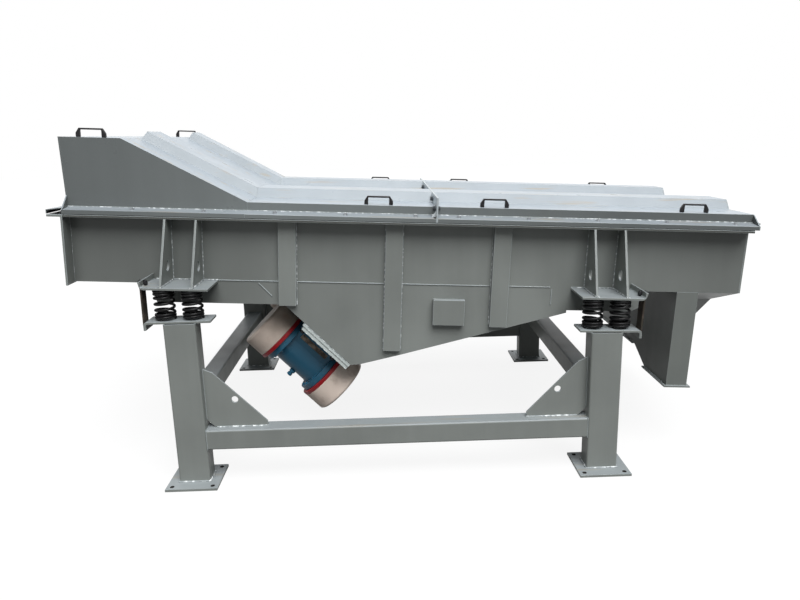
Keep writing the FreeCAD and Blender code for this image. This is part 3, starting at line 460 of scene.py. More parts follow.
def clean_copy(node):
    """The node's mesh with its triangles joined into whole faces."""
    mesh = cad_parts[node].data.copy()
    mesh.name = node
    shape = bmesh.new()
    shape.from_mesh(mesh)
    bmesh.ops.remove_doubles(shape, verts=shape.verts, dist=1e-5)
    bmesh.ops.dissolve_limit(shape, angle_limit=math.radians(0.5), verts=shape.verts,
                             edges=shape.edges)
    shape.to_mesh(mesh)
    shape.free()
    return mesh


def plain_mesh(thing):
    """Turn an object with modifiers into one with the finished mesh and none."""
    view = bpy.context.evaluated_depsgraph_get()
    mesh = bpy.data.meshes.new_from_object(thing.evaluated_get(view))
    thing.modifiers.clear()
    thing.data = mesh
    mesh.name = thing.name
    return thing


print("The solids have %d triangles" % sum(len(thing.data.polygons)
                                           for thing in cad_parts.values()))

# %% [markdown]
# Seats and brackets are folded from plate, and a fold is rounder than an edge: wide on its outside
# and tight on its inside. The fold's own edges are picked by their place, and rounded first.

# %% Rounded folds and edges
FOLD_OUTSIDE, FOLD_INSIDE = 0.016, 0.007


def round_fold(mesh, x, z):
    """Round both sides of a fold that runs across the machine at x and z."""
    shape = bmesh.new()
    shape.from_mesh(mesh)
    for outer, radius in ((True, FOLD_OUTSIDE), (False, FOLD_INSIDE)):
        fold = [edge for edge in shape.edges
                if edge.is_convex == outer and edge.calc_length() > 0.05
                and all(math.hypot(end.co.x - x, end.co.z - z) < 0.017 for end in edge.verts)]
        bmesh.ops.bevel(shape, geom=fold, offset=radius, segments=4, profile=0.5,
                        affect="EDGES")
    shape.to_mesh(mesh)
    shape.free()


def soften(node, faces, edges, width, steps=2, fold=None, blunt=20):
    """Replace a node by a copy whose edges sharper than blunt degrees are rounded."""
    mesh = clean_copy(node)
    if fold:
        round_fold(mesh, *fold)
    mesh.materials.clear()
    mesh.materials.append(faces)
    mesh.materials.append(edges)
    for face in mesh.polygons:
        face.material_index = 0
        face.use_smooth = True
    piece = bpy.data.objects.new(node + "_finished", mesh)
    bpy.context.scene.collection.objects.link(piece)
    bevel = piece.modifiers.new("round", "BEVEL")
    bevel.width = width
    bevel.segments = steps
    bevel.limit_method = "ANGLE"
    bevel.angle_limit = math.radians(blunt)
    # The bevel's faces take the edges finish: a paler one there is a painted highlight.
    bevel.material = 1
    even = piece.modifiers.new("even", "WEIGHTED_NORMAL")
    even.weight = 90
    plain_mesh(piece)
    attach(piece, "root")
    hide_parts(node)
    return piece


folds = {}
for corner, (side, row_side) in CORNERS.items():
    bend = on_box(side * (LEG_X + BRACKET_OUT[side]), 0, -SIDE_LOW)
    folds["bracket_" + corner] = (bend.x, bend.z)
    seat_end = side * (LEG_X + SEAT_OUT)
    folds["seat_" + corner] = (seat_end, seat_top(side, seat_end))
print("%d plates have a fold" % len(folds))

# %% Soften the plates and covers
PLATES = {"foot_": 0.0012, "leg_": 0.001, "seat_": 0.0025, "bracket_": 0.0015,
          "front_beam": 0.001, "rear_beam": 0.001, "feed_side_beam": 0.001,
          "discharge_side_beam": 0.001, "front_corner_webs": 0.0012, "rear_corner_webs": 0.0012,
          "side_plate_": 0.001, "box_flange_": 0.0015, "ribs_": 0.002, "side_pads": 0.002,
          "bottom_pan": 0.0015, "feed_end_plate": 0.002, "discharge_end_plate": 0.0015,
          "motor_mount": 0.0035, "chute_": 0.0015}
COVERS = {"hood": 0.0012, "hood_end": 0.0015, "cover_feed": 0.0012, "cover_discharge": 0.0012,
          "cover_end": 0.0015, "joint_flange": 0.0012}

# The flange's dark paint and the chutes' darker one are painted shade, the motor plates' paler
# paint is painted light, and the side plates' paint darkens to the ends as painted shade.
PLATE_PAINTS = {"box_flange_": painted_shade_grey, "side_plate_": wall_grey, "chute_": chute_shade_grey,
                "motor_mount": mount_lit_grey}

finished = []
for node in sorted(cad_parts):
    for start, width in PLATES.items():
        if node.startswith(start):
            finished.append(soften(node, PLATE_PAINTS.get(start, machine_grey),
                                   edge_highlight_grey, width, fold=folds.get(node)))
    if node in COVERS:
        # The joint flange's paler paint is painted light.
        paint = joint_flange_lit if node == "joint_flange" else cover_grey
        finished.append(soften(node, paint, edge_highlight_grey, COVERS[node]))
faces = sum(len(piece.data.polygons) for piece in finished)
print("%d plates and sheets softened, %d faces" % (len(finished), faces))

# %% [markdown]
# The motors are cast and turned, so their edges are rounder. The straps are cut from belt, and
# the grips are moulded, almost as round as a finger. They get the same treatment with wider
# bevels. The decks and seals keep their plain shape, the seals with a finish of their own and
# the decks in a near-black that is painted shade inside the box.

# %% Motors, straps, grips, decks and seals
for side in ("near", "far"):
    soften("motor_%s_body" % side, motor_blue, motor_blue, 0.003, 3, blunt=35)
    soften("motor_%s_covers" % side, motor_cream, motor_cream, 0.004, 4, blunt=35)
    soften("motor_%s_rings" % side, motor_red, motor_red, 0.003, 3, blunt=35)
soften("limit_straps", belt, belt, 0.001)
soften("handles_feed", grip_black, grip_black, 0.0032, 4)
soften("handles_discharge", grip_black, grip_black, 0.0032, 4)
# The decks inside the box are painted near-black: painted shade.
for node, finish in (("upper_deck", shade_dark), ("lower_deck", shade_dark),
                     ("cover_seals", seal_rubber)):
    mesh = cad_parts[node].data
    mesh.materials.clear()
    mesh.materials.append(finish)
print("Motors, straps, grips, decks and seals have their finish")

# %% [markdown]
# ## Trees for Geometry Nodes
# Springs, screws, cloth and welds repeat or follow a line. They could be copied and bent by hand,
# but a small Geometry Nodes tree with named sizes makes each from a few numbers. A tree is run
# once on a carrier object, and the result is kept as a plain mesh.

# %% Grow a tree and keep its result


def new_tree(name, sizes):
    """An empty geometry tree whose inputs are the given names, kinds and values."""
    tree = bpy.data.node_groups.new(name, "GeometryNodeTree")
    tree.interface.new_socket("Geometry", in_out="INPUT", socket_type="NodeSocketGeometry")
    for word, value in sizes.items():
        kind = {float: "Float", int: "Int", tuple: "Vector", type(None): "Material"}[type(value)]
        socket = tree.interface.new_socket(word, in_out="INPUT", socket_type="NodeSocket" + kind)
        if value is not None:
            socket.default_value = value
    tree.interface.new_socket("Geometry", in_out="OUTPUT", socket_type="NodeSocketGeometry")
    return tree, tree.nodes.new("NodeGroupInput").outputs


def end_tree(tree, geometry, finish):
    """Close a tree: instances made real and one finish."""
    real = add(tree, "GeometryNodeRealizeInstances", {0: geometry})
    dressed = add(tree, "GeometryNodeSetMaterial", {0: real.outputs[0], 2: finish})
    add(tree, "NodeGroupOutput", {0: dressed.outputs[0]})


def run_tree(tree, name, mesh, sizes):
    """Run a tree on a carrier mesh and keep the result as a plain mesh object."""
    carrier = bpy.data.objects.new(name, mesh)
    bpy.context.scene.collection.objects.link(carrier)
    modifier = carrier.modifiers.new("build", "NODES")
    modifier.node_group = tree
    names = {item.name: item.identifier for item in tree.interface.items_tree
             if item.in_out == "INPUT"}
    for word, value in sizes.items():
        modifier[names[word]] = value
    return plain_mesh(carrier)


def line_mesh(name, lines):
    """A mesh of bare edges, one run of them through each list of points."""
    points, edges = [], []
    for line in lines:
        edges += [(len(points) + i, len(points) + i + 1) for i in range(len(line) - 1)]
        points += [tuple(point) for point in line]
    mesh = bpy.data.meshes.new(name)
    mesh.from_pydata(points, edges, [])
    return mesh


print("Trees so far:", len(bpy.data.node_groups))

# %% [markdown]
# ## Coil springs
# Each corner of the box stands on two compression springs of 13 mm wire. Two turns at each end
# are closed, lying on each other, and the turns between climb evenly. A screw modifier could wind
# a spring, but not one whose ends lie flat and whose top leans with the box. Here every point of
# a line works out its own turn, and its height between the two plates at its own place.

# %% The spring tree
spring_sizes = {"Centre X": 0.0, "Centre Y": 0.0, "Radius": 0.0435, "Wire": 0.013,
                "Low": 0.8, "Low Slope": 0.0, "High": 0.95, "High Slope": 0.0,
                "Turns": 7.0, "Closed Turns": 2.0, "Steps": 28, "Finish": None}
spring_tree, size = new_tree("coil spring", spring_sizes)


def spring_calc(operation, first, second=0.0):
    return calc(spring_tree, operation, first, second)


count = spring_calc("ADD", spring_calc("MULTIPLY", size["Turns"], size["Steps"]), 1.0)
row = add(spring_tree, "GeometryNodeMeshLine", {"Count": count})
step = add(spring_tree, "GeometryNodeInputIndex").outputs[0]
turned = spring_calc("DIVIDE", step, size["Steps"])
angle = spring_calc("MULTIPLY", turned, 2 * math.pi)
out_x = spring_calc("MULTIPLY", size["Radius"], spring_calc("COSINE", angle))
out_y = spring_calc("MULTIPLY", size["Radius"], spring_calc("SINE", angle))
half_wire = spring_calc("MULTIPLY", size["Wire"], 0.5)
low = spring_calc("ADD", spring_calc("ADD", size["Low"],
                                     spring_calc("MULTIPLY", out_x, size["Low Slope"])), half_wire)
high = spring_calc("SUBTRACT", spring_calc("ADD", size["High"], spring_calc(
    "MULTIPLY", out_x, size["High Slope"])), half_wire)
room = spring_calc("SUBTRACT", high, low)
closed_high = spring_calc("MULTIPLY", size["Wire"], size["Closed Turns"])
closed_part = spring_calc("DIVIDE", closed_high, room)
first_part = spring_calc("MULTIPLY", closed_part, spring_calc(
    "MINIMUM", spring_calc("DIVIDE", turned, size["Closed Turns"]), 1.0))
open_turns = spring_calc("SUBTRACT", size["Turns"],
                         spring_calc("MULTIPLY", size["Closed Turns"], 2.0))
climbed = spring_calc("DIVIDE", spring_calc("SUBTRACT", turned, size["Closed Turns"]), open_turns)
climbed = spring_calc("MINIMUM", spring_calc("MAXIMUM", climbed, 0.0), 1.0)
middle_part = spring_calc("MULTIPLY", climbed, spring_calc(
    "SUBTRACT", 1.0, spring_calc("MULTIPLY", closed_part, 2.0)))
last = spring_calc("SUBTRACT", turned, spring_calc("SUBTRACT", size["Turns"],
                                                   size["Closed Turns"]))
last_part = spring_calc("MULTIPLY", closed_part, spring_calc(
    "DIVIDE", spring_calc("MAXIMUM", last, 0.0), size["Closed Turns"]))
rise = spring_calc("ADD", spring_calc("ADD", first_part, middle_part), last_part)
height = spring_calc("ADD", low, spring_calc("MULTIPLY", room, rise))
spot = add(spring_tree, "ShaderNodeCombineXYZ",
           {0: spring_calc("ADD", size["Centre X"], out_x),
            1: spring_calc("ADD", size["Centre Y"], out_y), 2: height})
wound = add(spring_tree, "GeometryNodeSetPosition", {0: row.outputs[0], 2: spot.outputs[0]})
wire_path = add(spring_tree, "GeometryNodeMeshToCurve", {0: wound.outputs[0]})
ring = add(spring_tree, "GeometryNodeCurvePrimitiveCircle",
           {"Resolution": 14, "Radius": half_wire})
wire = add(spring_tree, "GeometryNodeCurveToMesh", {0: wire_path.outputs[0], 1: ring.outputs[0],
                                                    "Fill Caps": True})
end_tree(spring_tree, wire.outputs[0], size["Finish"])
print("The spring tree has %d nodes" % len(spring_tree.nodes))

# %% [markdown]
# The tree is run twice a corner, and the two coils become one piece that takes the place of that
# corner's solid springs. They could stay two pieces, but the solids name them as a pair.

# %% Wind the springs
SPRING_PITCH = 0.130
SPRING_IN = 0.015

for corner, (side, row_side) in CORNERS.items():
    coils = []
    for half in (-0.5, 0.5):
        x = side * (LEG_X + SPRING_OUT) + half * SPRING_PITCH
        coils.append(run_tree(spring_tree, "coil_%s_%d" % (corner, half > 0),
                              bpy.data.meshes.new("coil"),
                              {"Centre X": x, "Centre Y": row_side * (LEG_Y - SPRING_IN),
                               "Low": seat_top(side, x),
                               "Low Slope": -math.tan(SEAT_TILT[side]),
                               "High": bracket_height(x), "High Slope": -math.tan(LEAN),
                               "Finish": spring_black}))
    both_coils = bmesh.new()
    for coil in coils:
        both_coils.from_mesh(coil.data)
        bpy.data.objects.remove(coil)
    mesh = bpy.data.meshes.new("springs_" + corner)
    both_coils.to_mesh(mesh)
    both_coils.free()
    mesh.materials.append(spring_black)
    for face in mesh.polygons:
        face.use_smooth = True
    pair = bpy.data.objects.new("coils_" + corner, mesh)
    bpy.context.scene.collection.objects.link(pair)
    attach(pair, "root")
    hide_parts("springs_" + corner)
    print(corner, "springs have %d faces" % len(mesh.polygons))

# %% [markdown]
# ## Screws and bolts
# Hexagon screws hold the covers' lips to the flanges, the two covers to each other, the straps to
# their lips and the motors to their plate. Each could be modelled and copied by hand. A tree does
# it better: it puts one screw with its washer on every point of a mesh, turned the way the point
# says, so a new row of screws is only a new list of points.

# %% The screw tree
screw_sizes = {"Head": 0.0085, "Head High": 0.0065, "Washer": 0.0115, "Washer Thick": 0.0018,
               "Finish": None}
screw_tree, size = new_tree("hexagon screw", screw_sizes)
head = add(screw_tree, "GeometryNodeMeshCone",
           {"Vertices": 6, "Radius Top": calc(screw_tree, "MULTIPLY", size["Head"], 0.9),
            "Radius Bottom": size["Head"], "Depth": size["Head High"]})
lifted = add(screw_tree, "ShaderNodeCombineXYZ", {2: size["Washer Thick"]})
head_up = add(screw_tree, "GeometryNodeTransform", {0: head.outputs[0], 1: lifted.outputs[0]})
washer = add(screw_tree, "GeometryNodeMeshCylinder",
             {"Vertices": 18, "Radius": size["Washer"], "Depth": size["Washer Thick"]})
middle = calc(screw_tree, "MULTIPLY", size["Washer Thick"], 0.5)
washer_up = add(screw_tree, "GeometryNodeTransform",
                {0: washer.outputs[0],
                 1: add(screw_tree, "ShaderNodeCombineXYZ", {2: middle}).outputs[0]})
screw = add(screw_tree, "GeometryNodeJoinGeometry")
screw_tree.links.new(head_up.outputs[0], screw.inputs[0])
screw_tree.links.new(washer_up.outputs[0], screw.inputs[0])
aim = add(screw_tree, "GeometryNodeInputNamedAttribute", {"Name": "aim"},
          data_type="FLOAT_VECTOR")
facing = add(screw_tree, "FunctionNodeAlignEulerToVector", {"Vector": aim.outputs[0]}, axis="Z")
dots = add(screw_tree, "GeometryNodeMeshToPoints", {0: size["Geometry"]})
placed = add(screw_tree, "GeometryNodeInstanceOnPoints",
             {0: dots.outputs[0], 2: screw.outputs[0], 5: facing.outputs[0]})
end_tree(screw_tree, placed.outputs[0], size["Finish"])


def screws(name, places, finish, slot, **sizes):
    """Screws at places, each a point and the way its head looks."""
    mesh = bpy.data.meshes.new(name)
    mesh.from_pydata([tuple(point) for point, way in places], [], [])
    aims = mesh.attributes.new("aim", "FLOAT_VECTOR", "POINT")
    for i, (point, way) in enumerate(places):
        aims.data[i].vector = way
    named = {word.replace("_", " ").title(): value for word, value in sizes.items()}
    piece = run_tree(screw_tree, name, mesh, dict(named, Finish=finish))
    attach(piece, "root")
    print("%s: %d screws" % (name, len(places)))


print("The screw tree has %d nodes" % len(screw_tree.nodes))

# %% [markdown]
# Small screws hold the covers' sloping lips down on the flanges, five to each half, and larger
# ones go through the upright joint flange between the two covers, one head on each face.

# %% Rows of screws on the covers
LIP_LINE = 0.742
LIP_ABOVE = -0.0451
LIP_SLOPE = 0.14
SCREW_ROWS = [(-1.215, 0.117, 5), (0.323, 1.657, 5)]
JOINT_AT = 0.217
JOINT_THICK = 0.008
JOINT_SPOTS = ((-0.704, -0.008), (-0.511, 0.021), (-0.1, 0.021), (0.296, 0.021),
               (0.511, 0.021), (0.704, -0.008))
JOINT_LOW_OUT, JOINT_LOW_ABOVE = 0.764, -0.052

lip_screws = []
for start, end, count in SCREW_ROWS:
    for i in range(count):
        along = start + (end - start) * i / (count - 1)
        for row_side in (-1, 1):
            lip_screws.append((on_box(along, row_side * LIP_LINE, LIP_ABOVE),
                               box_way(0, row_side * LIP_SLOPE, 1)))
screws("lip_screws", lip_screws, zinc, "cover_paint")

joint_screws = []
for across, above in JOINT_SPOTS:
    for way in (-1, 1):
        joint_screws.append((on_box(JOINT_AT + way * JOINT_THICK / 2, across, above),
                             box_way(way, 0, 0)))
screws("joint_screws", joint_screws, bolt_steel, "cover_paint", head=0.0105, head_high=0.013,
       washer=0.0135)
low_screws = [(on_box(JOINT_AT - JOINT_THICK / 2, across, JOINT_LOW_ABOVE), box_way(-1, 0, 0))
              for across in (-JOINT_LOW_OUT, JOINT_LOW_OUT)]
screws("joint_low_screws", low_screws, bolt_black, "black_paint", head=0.0095, head_high=0.010,
       washer=0.0115)

# %% [markdown]
# Each travel strap is clamped by one bolt through the bracket's leaning lip, with a head on both
# sides, and by another through the seat's hanging lip.

# %% Bolts of the straps
LIP_TILT = math.radians(15)
BOLT_DOWN = 0.024
SEAT_BOLT_DOWN = 0.022
BOLT_ASIDE = 0.006
LIP_THROUGH = 0.0115
STRAP_THICK = 0.008

strap_bolts = []
for side, row_side in CORNERS.values():
    bend = side * (LEG_X + BRACKET_OUT[side])
    y = row_side * (LEG_Y - SPRING_IN - BOLT_ASIDE)
    for way, off in ((-1, -LIP_THROUGH), (1, STRAP_THICK)):
        at = on_box(bend + side * (BOLT_DOWN * math.sin(LIP_TILT) + off), y,
                    BOLT_DOWN * math.cos(LIP_TILT) - SIDE_LOW)
        strap_bolts.append((at, box_way(way * side * math.cos(LIP_TILT), 0,
                                        -way * math.sin(LIP_TILT))))
    lip = side * (LEG_X + SEAT_OUT + STRAP_THICK)
    strap_bolts.append((Vector((lip, y, seat_top(side, lip) - SEAT_BOLT_DOWN)),
                        Vector((side, 0, 0))))
screws("strap_bolts", strap_bolts, bolt_black, "black_paint", head=0.0125, head_high=0.008,
       washer=0.015, washer_thick=0.002)

# %% [markdown]
# ## Motor fittings
# Each motor is bolted through its four feet to the slanted plate, and a ring of small screws
# closes each flange of its housing. Their places could be measured in the room, but in the motor's
# own frame, along its shaft and round it, they are round numbers.

# %% The motor's own measures
MOTOR_ANGLE = math.radians(43)
SHAFT_TURN = LEAN + MOTOR_ANGLE
SHAFT_Y = 0.397
MOTOR_SEAT = 0.172
MOUNT_PLATES = 0.036
HOPPER_FOOT_ALONG, HOPPER_FOOT_DOWN = 0.185, 0.809
mount_line = HOPPER_FOOT_ALONG * math.sin(MOTOR_ANGLE) + HOPPER_FOOT_DOWN * math.cos(MOTOR_ANGLE)
SHAFT_DOWN = mount_line + MOUNT_PLATES + MOTOR_SEAT
shaft_start = Vector((-SHAFT_DOWN * math.sin(SHAFT_TURN), 0,
                      DECK_HEIGHT - SHAFT_DOWN * math.cos(SHAFT_TURN)))
shaft_turn = Matrix.Rotation(SHAFT_TURN, 3, "Y")


def on_motor(row_side, along, across, above):
    """A point given along a motor's shaft, across it and above it."""
    local = shaft_turn @ Vector((along, row_side * across, above))
    return shaft_start + Vector((0, row_side * SHAFT_Y, 0)) + local


def motor_way(row_side, along, across, above):
    """A direction in a motor's own frame, turned into the room."""
    return shaft_turn @ Vector((along, row_side * across, above))


print("The shafts start %.3f m over the floor" % shaft_start.z)

# %% Bolts and screws of the motors
FOOT_BOLTS_ALONG = (0.140, 0.354)
FOOT_BOLTS_OUT = 0.127
FOOT_BOLT_DOWN = 0.0339
FLANGE_FACES = ((0.133, 1), (0.359, -1))
SCREW_CIRCLE = 0.130
SADDLE_FROM = 0.095

foot_bolts, ring_screws = [], []
for row_side in (-1, 1):
    for along in FOOT_BOLTS_ALONG:
        for across in (-FOOT_BOLTS_OUT, FOOT_BOLTS_OUT):
            foot_bolts.append((on_motor(row_side, along, across, MOTOR_SEAT - FOOT_BOLT_DOWN),
                               motor_way(row_side, 0, 0, -1)))
    for along, way in FLANGE_FACES:
        for turn_part in range(12):
            angle = 2 * math.pi * (turn_part + 0.5) / 12
            across, above = SCREW_CIRCLE * math.cos(angle), SCREW_CIRCLE * math.sin(angle)
            if above <= SADDLE_FROM:
                ring_screws.append((on_motor(row_side, along, across, above),
                                    motor_way(row_side, way, 0, 0)))
screws("motor_foot_bolts", foot_bolts, bolt_black, "black_paint", head=0.013, head_high=0.018,
       washer=0.017, washer_thick=0.009)
screws("motor_flange_screws", ring_screws, motor_blue, "motor_blue", head=0.0075,
       head_high=0.006, washer=0.0095, washer_thick=0.0015)

# %% [markdown]
# ## Rails, dirt and cable gland of the motors
# A rail joins the two feet on each side of a motor, and mud has settled in the pocket under it.
# The cable enters through a gland below. They could be drawn in the construction program, but
# they carry nothing, so a few rounded bars laid in the motor's own frame are enough.

# %% Ways to build a small part


def rounded_bar(shape, spot, low, high, round_by):
    """Add a bar with rounded edges, between two corners of the frame that spot places."""
    made = bmesh.ops.create_cube(shape, size=1.0)["verts"]
    for corner in made:
        for axis in range(3):
            corner.co[axis] = low[axis] if corner.co[axis] < 0 else high[axis]
    edges = list({edge for corner in made for edge in corner.link_edges})
    rounded = bmesh.ops.bevel(shape, geom=edges, offset=round_by, segments=2, profile=0.5,
                              affect="EDGES")
    group = {corner for corner in made if corner.is_valid} | set(rounded["verts"])
    for corner in group:
        corner.co = spot(*corner.co)


def ring_points(shape, spot, outline, sides):
    """Rings of points about a line, one for each radius and height of the outline."""
    return [[shape.verts.new(spot(radius * math.cos(2 * math.pi * k / sides),
                                  radius * math.sin(2 * math.pi * k / sides), height))
             for k in range(sides)] for radius, height in outline]


def turned_part(shape, spot, outline, sides=24):
    """Add a closed part turned about a line, from its outline."""
    rings = ring_points(shape, spot, outline, sides)
    for below, above in zip(rings, rings[1:]):
        for k in range(sides):
            nxt = (k + 1) % sides
            shape.faces.new((below[k], below[nxt], above[nxt], above[k]))
    shape.faces.new(rings[0][::-1])
    shape.faces.new(rings[-1])


def keep_shape(name, shape, finish, closed=True):
    """Keep a built shape as a finished piece, and turn a closed one's faces outwards."""
    if closed:
        bmesh.ops.recalc_face_normals(shape, faces=shape.faces)
    mesh = bpy.data.meshes.new(name)
    shape.to_mesh(mesh)
    shape.free()
    mesh.materials.append(finish)
    piece = bpy.data.objects.new(name, mesh)
    bpy.context.scene.collection.objects.link(piece)
    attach(piece, "root")
    print("%s: %d faces" % (name, len(mesh.polygons)))


# %% Rails, mud and glands
RAIL_BARS = (((0.150, 0.128, 0.139), (0.344, 0.150, 0.160)),
             ((0.150, -0.150, 0.139), (0.344, -0.128, 0.160)))
RAIL_ROUND = 0.003
MUD_BARS = (((0.158, 0.099, 0.078), (0.334, 0.102, 0.104)),
            ((0.158, -0.102, 0.078), (0.334, -0.099, 0.104)))
MUD_ROUND = 0.0012
GLAND_ALONG, GLAND_ACROSS, GLAND_ABOVE = 0.262, 0.045, -0.100
GLAND = ((0.017, 0), (0.017, 0.012), (0.012, 0.014), (0.012, 0.022), (0.014, 0.024),
         (0.014, 0.036), (0.006, 0.038))

rails, mud, glands = bmesh.new(), bmesh.new(), bmesh.new()
for row_side in (-1, 1):
    def spot(along, across, above):
        return on_motor(row_side, along, across, above)

    def below(first, second, third):
        return on_motor(row_side, GLAND_ALONG + first, GLAND_ACROSS + second,
                        GLAND_ABOVE - third)

    for low, high in RAIL_BARS:
        rounded_bar(rails, spot, low, high, RAIL_ROUND)
    for low, high in MUD_BARS:
        rounded_bar(mud, spot, low, high, MUD_ROUND)
    turned_part(glands, below, GLAND)
keep_shape("motor_rails", rails, motor_blue)
keep_shape("motor_mud", mud, dried_mud)
keep_shape("motor_glands", glands, motor_blue)

# %% [markdown]
# ## Small braces and bolt holes
# A little triangular brace, in a pale paint that is a painted highlight, props each end of the
# joint flange against the lip. The bolt holes of the feet are not used, and a dark shallow cup
# stands in each as painted shade in the hole. Painting a dark spot on the foot would be easier,
# but it would lie flat.

# %% Braces
BRACE = ((0, -0.016), (0, -0.0445), (-0.020, -0.0445))
BRACE_OUT = 0.740
BRACE_THICK = 0.004

braces = bmesh.new()
face = JOINT_AT - JOINT_THICK / 2
for row_side in (-1, 1):
    rows = [[braces.verts.new(on_box(face + along, row_side * (BRACE_OUT + half), above))
             for along, above in BRACE] for half in (0, BRACE_THICK)]
    braces.faces.new(rows[0])
    braces.faces.new(rows[1][::-1])
    for i in range(3):
        k = (i + 1) % 3
        braces.faces.new((rows[0][i], rows[0][k], rows[1][k], rows[1][i]))
keep_shape("joint_braces", braces, brace_highlight)

# %% Painted shade in the bolt holes
HOLE_OUT = 0.0975
HOLE_SPOTS = [(side * (LEG_X + i * HOLE_OUT), row_side * (LEG_Y + j * HOLE_OUT))
              for side in (-1, 1) for row_side in (-1, 1)
              for i, j in ((1, 1), (-1, 1), (1, -1), (-1, -1))]
CUP = ((0.0085, 0.004), (0.0086, 0.0118), (0.0094, 0.0124), (0.0106, 0.0125), (0.0109, 0.0121))
CUP_SIDES = 20

cups = bmesh.new()
for x, y in HOLE_SPOTS:
    rings = ring_points(cups, lambda i, j, k: (x + i, y + j, k), CUP, CUP_SIDES)
    for inner, outer in zip(rings, rings[1:]):
        for k in range(CUP_SIDES):
            cups.faces.new((inner[k], inner[k - 1], outer[k - 1], outer[k]))
    cups.faces.new(rings[0])
keep_shape("hole_shade", cups, shade_dark, closed=False)

# %% [markdown]
# ## Screen cloth
# The decks are meshes of crossed wires, tighter on the lower one. They show through the feed
# window. Wires could be drawn one by one; a tree lays one wire over every point of a line, once
# along and once across, and turns the sheet to the box's lean.

# %% The cloth tree
cloth_sizes = {"Long": 3.0, "Wide": 1.36, "Pitch": 0.02, "Wire": 0.004, "Place": (0.0, 0.0, 0.0),
               "Lean": 0.0, "Finish": None}
cloth_tree, size = new_tree("screen cloth", cloth_sizes)
layers = add(cloth_tree, "GeometryNodeJoinGeometry")
for run, room, turn, lift in (("Long", "Wide", (0, math.pi / 2, 0), 0.5),
                              ("Wide", "Long", (math.pi / 2, 0, 0), 1.4)):
    rod = add(cloth_tree, "GeometryNodeMeshCylinder",
              {"Vertices": 6, "Radius": calc(cloth_tree, "MULTIPLY", size["Wire"], 0.5),
               "Depth": size[run]})
    laid = add(cloth_tree, "GeometryNodeTransform", {0: rod.outputs[0], "Rotation": turn})
    count = calc(cloth_tree, "DIVIDE", size[room], size["Pitch"])
    height = calc(cloth_tree, "MULTIPLY", size["Wire"], lift)
    first = calc(cloth_tree, "MULTIPLY", size[room], -0.5)
    start = add(cloth_tree, "ShaderNodeCombineXYZ",
                {1 if run == "Long" else 0: first, 2: height})
    step = add(cloth_tree, "ShaderNodeCombineXYZ", {1 if run == "Long" else 0: size["Pitch"]})
    row = add(cloth_tree, "GeometryNodeMeshLine",
              {"Count": count, "Start Location": start.outputs[0], "Offset": step.outputs[0]})
    wires = add(cloth_tree, "GeometryNodeInstanceOnPoints",
                {0: row.outputs[0], 2: laid.outputs[0]})
    cloth_tree.links.new(wires.outputs[0], layers.inputs[0])
tilt = add(cloth_tree, "ShaderNodeCombineXYZ", {1: size["Lean"]})
leaning = add(cloth_tree, "GeometryNodeTransform",
              {0: layers.outputs[0], "Translation": size["Place"], "Rotation": tilt.outputs[0]})
end_tree(cloth_tree, leaning.outputs[0], size["Finish"])
print("The cloth tree has %d nodes" % len(cloth_tree.nodes))

# %% Lay the cloth on both decks
CLOTH_START = -1.515
CLOTH_WIDE = 1.36
CLOTHS = (("upper_cloth", 1.510, -0.138, 0.024, 0.0045),
          ("lower_cloth", 1.385, -0.318, 0.016, 0.0035))

for name, end, above, pitch, wire in CLOTHS:
    cloth = run_tree(cloth_tree, name, bpy.data.meshes.new(name),
                     {"Long": end - CLOTH_START, "Wide": CLOTH_WIDE, "Pitch": pitch,
                      "Wire": wire, "Place": tuple(on_box((CLOTH_START + end) / 2, 0, above)),
                      "Lean": LEAN, "Finish": deck_steel})
    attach(cloth, "root")
    print("%s: %d faces" % (name, len(cloth.data.polygons)))

# %% [markdown]
# ## Weld beads
# The frame and the box are welded, and the beads show as pale ripples with painted highlights in
# patches. A bead is a rounded rib that follows a seam. It could be a row of squashed balls; a
# tube swept along the seam, whose radius swells and shrinks every few millimetres, gives the same
# ripple with far fewer faces.

# %% The bead tree
bead_sizes = {"Radius": 0.0032, "Ripple": 0.0035, "Rough": 0.35, "Seed": 4.0, "Finish": None}
bead_tree, size = new_tree("weld bead", bead_sizes)
seam = add(bead_tree, "GeometryNodeMeshToCurve", {0: size["Geometry"]})
laid = add(bead_tree, "GeometryNodeResampleCurve",
           {"Curve": seam.outputs[0], "Length": calc(bead_tree, "MULTIPLY", size["Ripple"], 0.5)},
           mode="LENGTH")
place = add(bead_tree, "GeometryNodeInputPosition").outputs[0]
lumps = add(bead_tree, "ShaderNodeTexNoise", {"Vector": place, "W": size["Seed"], "Scale": 55.0,
                                              "Detail": 2.0}, noise_dimensions="4D")
swell = calc(bead_tree, "MULTIPLY", calc(bead_tree, "SUBTRACT", lumps.outputs[0], 0.5),
             calc(bead_tree, "MULTIPLY", size["Rough"], 2.4))
number = add(bead_tree, "GeometryNodeInputIndex").outputs[0]
odd = calc(bead_tree, "MODULO", number, 2.0)
ripple = calc(bead_tree, "MULTIPLY", odd, 0.22)
girth = calc(bead_tree, "ADD", calc(bead_tree, "ADD", 0.82, swell), ripple)
section = add(bead_tree, "GeometryNodeCurvePrimitiveCircle",
              {"Resolution": 6, "Radius": size["Radius"]})
tube = add(bead_tree, "GeometryNodeCurveToMesh",
           {0: laid.outputs[0], 1: section.outputs[0], "Scale": girth, "Fill Caps": True})
end_tree(bead_tree, tube.outputs[0], size["Finish"])


def beads(name, lines, radius=0.0032, finish=weld_highlight_grey, ripple=0.0035):
    """Weld beads along the given lines."""
    piece = run_tree(bead_tree, name, line_mesh(name, lines),
                     {"Radius": radius, "Ripple": ripple, "Finish": finish})
    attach(piece, "root")
    length = sum((Vector(b) - Vector(a)).length for line in lines
                 for a, b in zip(line, line[1:]))
    print("%s: %.1f m of weld, %d faces" % (name, length, len(piece.data.polygons)))


